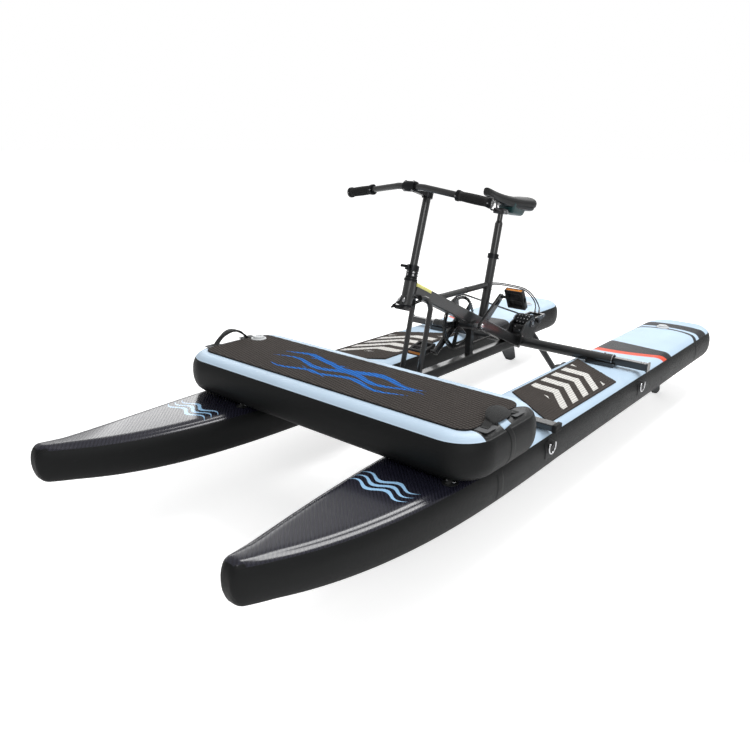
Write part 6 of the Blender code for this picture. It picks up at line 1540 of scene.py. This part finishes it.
def belt(count):
    """Points at an even spacing along the chain's line, as (y, z)."""
    away = DRIVE_CENTRE - CRANK_CENTRE
    big, small = (
        CHAIN_PITCH / 2 / sin(pi / teeth) + CHAIN_LINE for teeth in (CHAINRING_TEETH, SPROCKET_TEETH)
    )
    heading = atan2(away.z, away.y)
    lean = acos((big - small) / hypot(away.y, away.z))
    line = []
    for centre, radius, first, last in (
        (CRANK_CENTRE, big, heading + lean, heading + 2 * pi - lean),
        (DRIVE_CENTRE, small, heading - lean, heading + lean),
    ):
        for step in range(121):
            angle = first + (last - first) * step / 120
            line.append(Vector((centre.y + radius * cos(angle), centre.z + radius * sin(angle))))
    line.append(line[0])
    total = sum((b - a).length for a, b in zip(line, line[1:]))
    points, walked, index = [], 0.0, 0
    for step in range(count):
        target = total * step / count
        while walked + (line[index + 1] - line[index]).length < target:
            walked += (line[index + 1] - line[index]).length
            index += 1
        points.append(line[index].lerp(line[index + 1], (target - walked) / (line[index + 1] - line[index]).length))
    return points, total


def prism_faces(first, count):
    """The ends and sides between two outlines of this many points, the first of which is point number first."""
    faces = [[first + i for i in range(count)][::-1], [first + count + i for i in range(count)]]
    for i in range(count):
        after = (i + 1) % count
        faces.append([first + i, first + after, first + count + after, first + count + i])
    return faces


LINKS = 2 * round(belt(4)[1] / CHAIN_PITCH / 2)
pins = belt(LINKS)[0]
plate_outline = []
for centre_u, first in ((CHAIN_PITCH / 2, -90), (-CHAIN_PITCH / 2, 90)):
    for a in (20, 55, 90, 125, 160):
        angle = radians(first + a)
        plate_outline.append((centre_u + 0.0036 * cos(angle), 0.0036 * sin(angle)))
    plate_outline.append((0, 0.0024 * (1 if first == -90 else -1)))
chain = begin("chain_links")
mode("OBJECT")
points, faces = [], []
for index, near in enumerate(pins):
    far = pins[(index + 1) % LINKS]
    way = (far - near).normalized()
    middle, normal = (near + far) / 2, Vector((-way.y, way.x))
    for x0, x1 in ((0.0024, 0.0034), (-0.0034, -0.0024)) if index % 2 else ((0.0013, 0.0022), (-0.0022, -0.0013)):
        for x in (x0, x1):
            for u, v in plate_outline:
                place = middle + way * u + normal * v
                points.append((CHAIN_X + x, place.x, place.y))
        count = len(plate_outline)
        faces += prism_faces(len(points) - 2 * count, count)
    for radius, half in ((0.0038, 0.0012), (0.0017, 0.0035)):
        for x in (-half, half):
            for i in range(8):
                angle = pi * i / 4
                points.append((CHAIN_X + x, near.x + radius * cos(angle), near.y + radius * sin(angle)))
        faces += prism_faces(len(points) - 16, 8)
chain.data.from_pydata(points, [], faces)
mode("EDIT")
select("SELECT")
bpy.ops.mesh.normals_make_consistent(inside=False)
mode("OBJECT")
chain_steel = metal("oiled_chain_steel", (0.16, 0.155, 0.15), 0.30)
finished(chain, chain_steel, "boat", "steel", "chain", degrees=35)


# Drive head: two plates on the rear crossbar carry the shaft's flanges and, between them, the bevel gearbox
# that the leg tilts with. The steering cables end in stops on the bridge behind it.
BRACKET_OUTER_X, GEARBOX_RADIUS, GEARBOX_NECK_RADIUS, GEARBOX_NECK_END = 0.039, 0.036, 0.023, 0.056
LEG_TILT = radians(49.0)
LEG_RUN = Vector((0, sin(LEG_TILT), -cos(LEG_TILT)))
PROP_RUN = Vector((0, cos(LEG_TILT), sin(LEG_TILT)))
PROPELLER_DEPTH, FOOT_LENGTH = 0.575, 0.100
CABLE_STOP_Y, CABLE_STOP_Z = 0.664, 0.452
flanges, spots = [], []
for side in (PORT, STARBOARD):
    flanges.append(turned("flange", [
        (0.0090, 0.0002), (0.0205, 0.0002), (0.0210, 0.0008), (0.0210, 0.0018), (0.0203, 0.0024), (0.0130, 0.0024),
        (0.0122, 0.0016), (0.0090, 0.0016),
    ], DRIVE_CENTRE + X * (side * BRACKET_OUTER_X), X * side))
    for step in range(4):
        angle = radians(45 + 90 * step)
        y, z = DRIVE_CENTRE.y + 0.0166 * cos(angle), DRIVE_CENTRE.z + 0.0166 * sin(angle)
        spots.append((Vector((side * (BRACKET_OUTER_X + 0.0022), y, z)), X * side))
    for y, z in (
        (REAR_BAR_Y - 0.022, REAR_BAR_Z + 0.030), (REAR_BAR_Y + 0.030, REAR_BAR_Z + 0.003), (0.606, 0.440),
        (0.652, 0.445),
    ):
        spots.append((Vector((side * BRACKET_OUTER_X, y, z)), X * side))
flange = joined("bearing_flanges", flanges)
finished(flange, dark_steel, "boat", "steel", degrees=40)
COVER_Y = 0.5035
spots += [(Vector((x, COVER_Y - 0.0042, z)), -Y) for x, z in ((0.024, 0.4140), (-0.020, 0.4140), (0.002, 0.4000))]
bolts("drive_head_bolts", "boat", spots, scale=0.60)
cover = begin("gearbox_cover_plate")
cube((0, COVER_Y, 0.4025), (0.0650, 0.0080, 0.0430))
rounded(0.0018, 3)
pick(cover, lambda face: face.normal.y < -0.95)
bpy.ops.mesh.inset(thickness=0.0036)
bpy.ops.mesh.extrude_region_shrink_fatten(TRANSFORM_OT_shrink_fatten={"value": -0.0014})
finished(cover, frame_coat, "boat", "frame_black", degrees=45)
KNOB_Y, KNOB_Z = 0.5960, 0.4330
knob = turned("leg_lock_knob", [
    (0.0040, 0.0002), (0.0076, 0.0002), (0.0076, 0.0040), (0.0118, 0.0048), (0.0128, 0.0060), (0.0128, 0.0122),
    (0.0116, 0.0136), (0.0060, 0.0140), (0.0052, 0.0128), (0, 0.0126),
], Vector((BRACKET_OUTER_X, KNOB_Y, KNOB_Z)), X, steps=48)
mode("EDIT")
pick(knob, lambda face: abs(face.normal.x) < 0.2 and face.calc_center_median().x > BRACKET_OUTER_X + 0.006
     and (face.calc_center_median().yz - Vector((KNOB_Y, KNOB_Z))).length > 0.012
     and round(atan2(face.calc_center_median().z - KNOB_Z, face.calc_center_median().y - KNOB_Y) * 24 / pi) % 2)
bpy.ops.mesh.extrude_faces_move(TRANSFORM_OT_shrink_fatten={"value": 0.0008})
finished(knob, dark_steel, "boat", "steel", degrees=40)
profile = []
for x in (-0.024, -0.016, -0.008, 0.0, 0.008, 0.016, 0.024):
    profile += [(GEARBOX_RADIUS + 0.0001, x - 0.0022), (GEARBOX_RADIUS + 0.0010, x - 0.0014)]
    profile += [(GEARBOX_RADIUS + 0.0010, x + 0.0014), (GEARBOX_RADIUS + 0.0001, x + 0.0022)]
ribs = turned("gearbox_ribs", profile, DRIVE_CENTRE, X, steps=72)
spots = []
for x in (-0.020, -0.004, 0.012, 0.028):
    for degrees in range(40, 200, 26):
        way = Vector((0, cos(radians(degrees)), sin(radians(degrees))))
        spots.append((DRIVE_CENTRE + X * x + way * (GEARBOX_RADIUS - 0.0004), way))
bolts("gearbox_bolts", "gearbox", spots, scale=0.50)
finished(ribs, black_alloy, "gearbox", "alloy_black", degrees=30)
band = turned("neck_band", [
    (GEARBOX_NECK_RADIUS + 0.0001, 0), (GEARBOX_NECK_RADIUS + 0.0014, 0.0008), (GEARBOX_NECK_RADIUS + 0.0014, 0.0072),
    (GEARBOX_NECK_RADIUS + 0.0001, 0.0080),
], DRIVE_CENTRE + LEG_RUN * (GEARBOX_NECK_END - 0.011), LEG_RUN)
finished(band, bright_steel, "gearbox", "steel", degrees=40)
seams = []
foot = DRIVE_CENTRE + LEG_RUN * PROPELLER_DEPTH
leg_band = DRIVE_CENTRE + LEG_RUN * 0.150
for profile, base, axis in (
    ([(0.0279, 0), (0.0288, 0.0008), (0.0288, 0.0044), (0.0279, 0.0052)], foot - PROP_RUN * 0.012, PROP_RUN),
    ([(0.0144, 0), (0.0156, 0.0008), (0.0156, 0.0150), (0.0144, 0.0158)], leg_band, LEG_RUN),
    ([(0.0144, 0), (0.0160, 0.0010), (0.0160, 0.0200), (0.0144, 0.0240)], foot - LEG_RUN * 0.052, LEG_RUN),
):
    seams.append(turned("seam", profile, base, axis))
leg_bands = joined("leg_bands", seams)
finished(leg_bands, black_alloy, "drive_leg", "alloy_black", degrees=40)
bolts("leg_bolts", "drive_leg", [
    (foot + X * (side * 0.0274) + PROP_RUN * along, X * side)
    for side in (PORT, STARBOARD) for along in (-0.024, 0.018)
] + [(foot + LEG_RUN * 0.0275 + PROP_RUN * 0.010, LEG_RUN)], scale=0.8)
stops = []
for number in range(2):
    stops.append(turned("stop", [
        (0.0029, 0.0005), (0.0048, 0.0005), (0.0048, 0.0050), (0.0042, 0.0054), (0.0042, 0.0070), (0.0048, 0.0074),
        (0.0048, 0.0090), (0.0038, 0.0100), (0.0038, 0.0180), (0.0029, 0.0190),
    ], Vector(((2 * number - 1) * 0.0105, CABLE_STOP_Y, CABLE_STOP_Z)), Z, steps=24))
cable_stops = joined("cable_stops", stops)
finished(cable_stops, bright_steel, "boat", "steel", degrees=40)


# Propeller: two moulded blades with a faired root, twisted for an even pitch, on a turned hub.
PROP_RADIUS, PROP_HUB_RADIUS, PROP_HUB_LENGTH = 0.115, 0.021, 0.040
PROP_REST_TURN = radians(-45.0)
BLADE_CHORD, BLADE_THICKNESS, BLADE_PITCH = 0.050, 0.005, 0.160
hub_start = FOOT_LENGTH * 0.48 + 0.0005
hub_end = hub_start + PROP_HUB_LENGTH
pieces = [turned("hub", [
    (0, hub_end), (0.0040, hub_end - 0.0003), (0.0094, hub_end - 0.002), (0.0145, hub_end - 0.0075),
    (0.0179, hub_end - 0.014), (0.0200, hub_end - 0.020), (0.0210, hub_end - 0.026), (0.0210, hub_start + 0.009),
    (0.0204, hub_start + 0.0084), (0.0204, hub_start + 0.0070), (0.0210, hub_start + 0.0064),
    (0.0210, hub_start + 0.0006), (0.0204, hub_start), (0.0062, hub_start),
], foot, PROP_RUN)]
basis = PROP_RUN.to_track_quat("Z", "Y").to_matrix().to_4x4()
blade_at = Matrix.Translation(foot + PROP_RUN * (hub_start + PROP_HUB_LENGTH * 0.42)) @ basis
for blade in range(2):
    rows = []
    for step in range(25):
        share = 1 - (1 - step / 24) ** 1.3
        radius = PROP_HUB_RADIUS * 0.7 + (PROP_RADIUS - PROP_HUB_RADIUS * 0.7) * share
        round_off = sqrt(max(0.0, 1 - max(0.0, (share - 0.86) / 0.14) ** 2)) * 0.97 + 0.03
        chord = BLADE_CHORD * (0.45 + 1.9 * share * (1 - share) + 0.10 * share) * round_off
        thick = BLADE_THICKNESS * (1 - 0.7 * share) * (0.35 + 0.65 * round_off) + 0.004 * max(0.0, 0.15 - share) / 0.15
        pitch = atan2(BLADE_PITCH, 2 * pi * max(radius, 0.03))
        row = []
        for i in range(20):
            angle = 2 * pi * i / 20
            u = 0.5 * chord * cos(angle)
            camber = 0.0016 * (1 - (2 * u / chord) ** 2) * share
            w = 0.5 * thick * sin(angle) * abs(sin(angle)) ** 0.3 + camber
            row.append((radius, u * cos(pitch) - w * sin(pitch), u * sin(pitch) + w * cos(pitch)))
        rows.append(row)
    piece = skin_over("blade", rows)
    piece.data.transform(blade_at @ Matrix.Rotation(PROP_REST_TURN + pi * blade, 4, "Z"))
    pieces.append(piece)
propeller = joined("propeller_blades", pieces)
propeller_nylon = moulded("propeller_nylon", (0.030, 0.030, 0.032), 0.36)
finished(propeller, propeller_nylon, "propeller", "plastic", "propeller", degrees=45)


# Cable clips: black nylon bands that hold the two cables to the beam, the top tube and the seat tube.
clips = []
for centre, axis, radius in (
    (SEAT_FOOT + SEAT_AXIS * ((0.6515 - SEAT_FOOT.z) / SEAT_AXIS.z), SEAT_AXIS, SEAT_TUBE_RADIUS),
    (SEAT_FOOT + SEAT_AXIS * ((0.6340 - SEAT_FOOT.z) / SEAT_AXIS.z), SEAT_AXIS, SEAT_TUBE_RADIUS),
    (Vector((0, 0.030, TOP_TUBE_Z)), Y, TOP_TUBE_RADIUS),
):
    clips.append(turned("clip", [
        (radius + 0.0001, -0.0026), (radius + 0.0011, -0.0022), (radius + 0.0011, 0.0022), (radius + 0.0001, 0.0026)
    ], centre, axis, steps=40))
for place, size in (
    ((-0.0222, 0.172, 0.6480), (0.0100, 0.0070, 0.0170)), ((-0.0180, 0.030, 0.6470), (0.0130, 0.0060, 0.0165)),
    ((-0.0226, -0.215, 0.6512), (0.0096, 0.0070, 0.0172)), ((-0.0226, -0.160, 0.6502), (0.0096, 0.0070, 0.0168)),
):
    block = begin("clip")
    cube(place, size)
    rounded(0.0022, 3)
    mode("OBJECT")
    clips.append(block)
cable_clips = joined("cable_clips", clips)
finished(cable_clips, shell_plastic, "boat", "plastic", degrees=45)


# Laid-on fabric: the seam tape down the port and starboard ends of the bench, the pale square patch that holds
# the port handle's foot, and the lap joints of the charcoal bands on the hulls' outer sides.
def laid_on(name, target, starts, direction, thickness):
    """A tape that follows the target's surface. starts is a grid of points from which it is dropped onto it."""
    rows = []
    for j, line in enumerate(starts):
        row = []
        for i, start in enumerate(line):
            hit, point, normal, _ = target.ray_cast(start, direction)
            edge = j in (0, len(starts) - 1) or i in (0, len(line) - 1)
            if not hit:
                point, normal = Vector(start) + direction * 0.2, -direction
            row.append(point + normal * (0.0001 if edge else thickness))
        rows.append(row)
    piece = begin(name)
    bpy.ops.mesh.primitive_grid_add(x_subdivisions=len(rows[0]) - 1, y_subdivisions=len(rows) - 1, size=1)
    mode("OBJECT")
    columns = len(rows[0])
    for index, corner in enumerate(piece.data.vertices):
        corner.co = rows[index // columns][index % columns]
    return piece


for end, side in (("port", PORT), ("starboard", STARBOARD)):
    rows = []
    for j in range(25):
        angle = radians(-62 + 124 * j / 24)
        height = BENCH_BOTTOM + BENCH_THICKNESS / 2 + sin(angle) * 0.066
        sway = 0.010 * sin(pi * j / 24)
        row = []
        for share in (-1, -0.86, -0.5, 0, 0.5, 0.86, 1):
            row.append(Vector((side * 0.70, END_SEAM_Y + sway + share * 0.013, height)))
        rows.append(row)
    tape = laid_on(f"{end}_bench_end_tape", bench, rows, X * -side, 0.0009)
    finished(tape, charcoal_band, "boat", "rail_black", degrees=60)
finish, shade, rough, normal = coated_cloth("pale_patch_cloth", (0.50, 0.66, 0.82), (0.74, 0.83, 0.92), 0.42)
pale_patch = finish.done(shade, rough, normal)
shares = (-0.5, -0.45, -0.3, -0.1, 0.1, 0.3, 0.45, 0.5)
SQUARE_MIDDLE, SQUARE_THICKNESS = Vector((0.6078, -0.6928, BENCH_TOP)), 0.0016
SQUARE_ACROSS, SQUARE_ALONG = Vector((0.0405, -0.0315, 0)), Vector((0.0085, -0.0515, 0))
ONTO_BENCH = Vector((-0.4415, 0.8169, -0.3711))     # the way in which the patch is laid on
above = SQUARE_MIDDLE - ONTO_BENCH * 0.15
rows = [[above + SQUARE_ACROSS * u + SQUARE_ALONG * v for v in shares] for u in shares]
square = laid_on("port_bench_square_patch", bench, rows, ONTO_BENCH, SQUARE_THICKNESS)
finished(square, pale_patch, "boat", "deck_blue", degrees=60)
for label, side in SIDES:
    hull = bpy.data.objects[f"{label}_inflated_hull"]
    for number, at in enumerate((-0.66, 1.19)):
        rows = []
        for j in range(15):
            height = HULL_BOTTOM + 0.026 + 0.086 * j / 14
            rows.append([Vector((side * 0.9, at + share * 0.017, height)) for share in (-1, -0.9, -0.4, 0.4, 0.9, 1)])
        lap = laid_on(f"{label}_band_lap_{number + 1}", hull, rows, X * -side, 0.0008)
        finished(lap, charcoal_band, "boat", "rail_black", degrees=60)

# Two polished rings on the rear crossbar's collars
collar_rings = []
for side in (PORT, STARBOARD):
    collar_rings.append(turned("ring", [
        (0.0237, 0), (0.0246, 0.0005), (0.0246, 0.0026), (0.0237, 0.0032)
    ], Vector((side * 0.4530, REAR_BAR_Y, REAR_BAR_Z)), X * side))
rings = joined("crossbar_collar_rings", collar_rings)
finished(rings, bright_steel, "boat", "steel", degrees=40)

bpy.data.objects.remove(bolt_master, do_unlink=True)
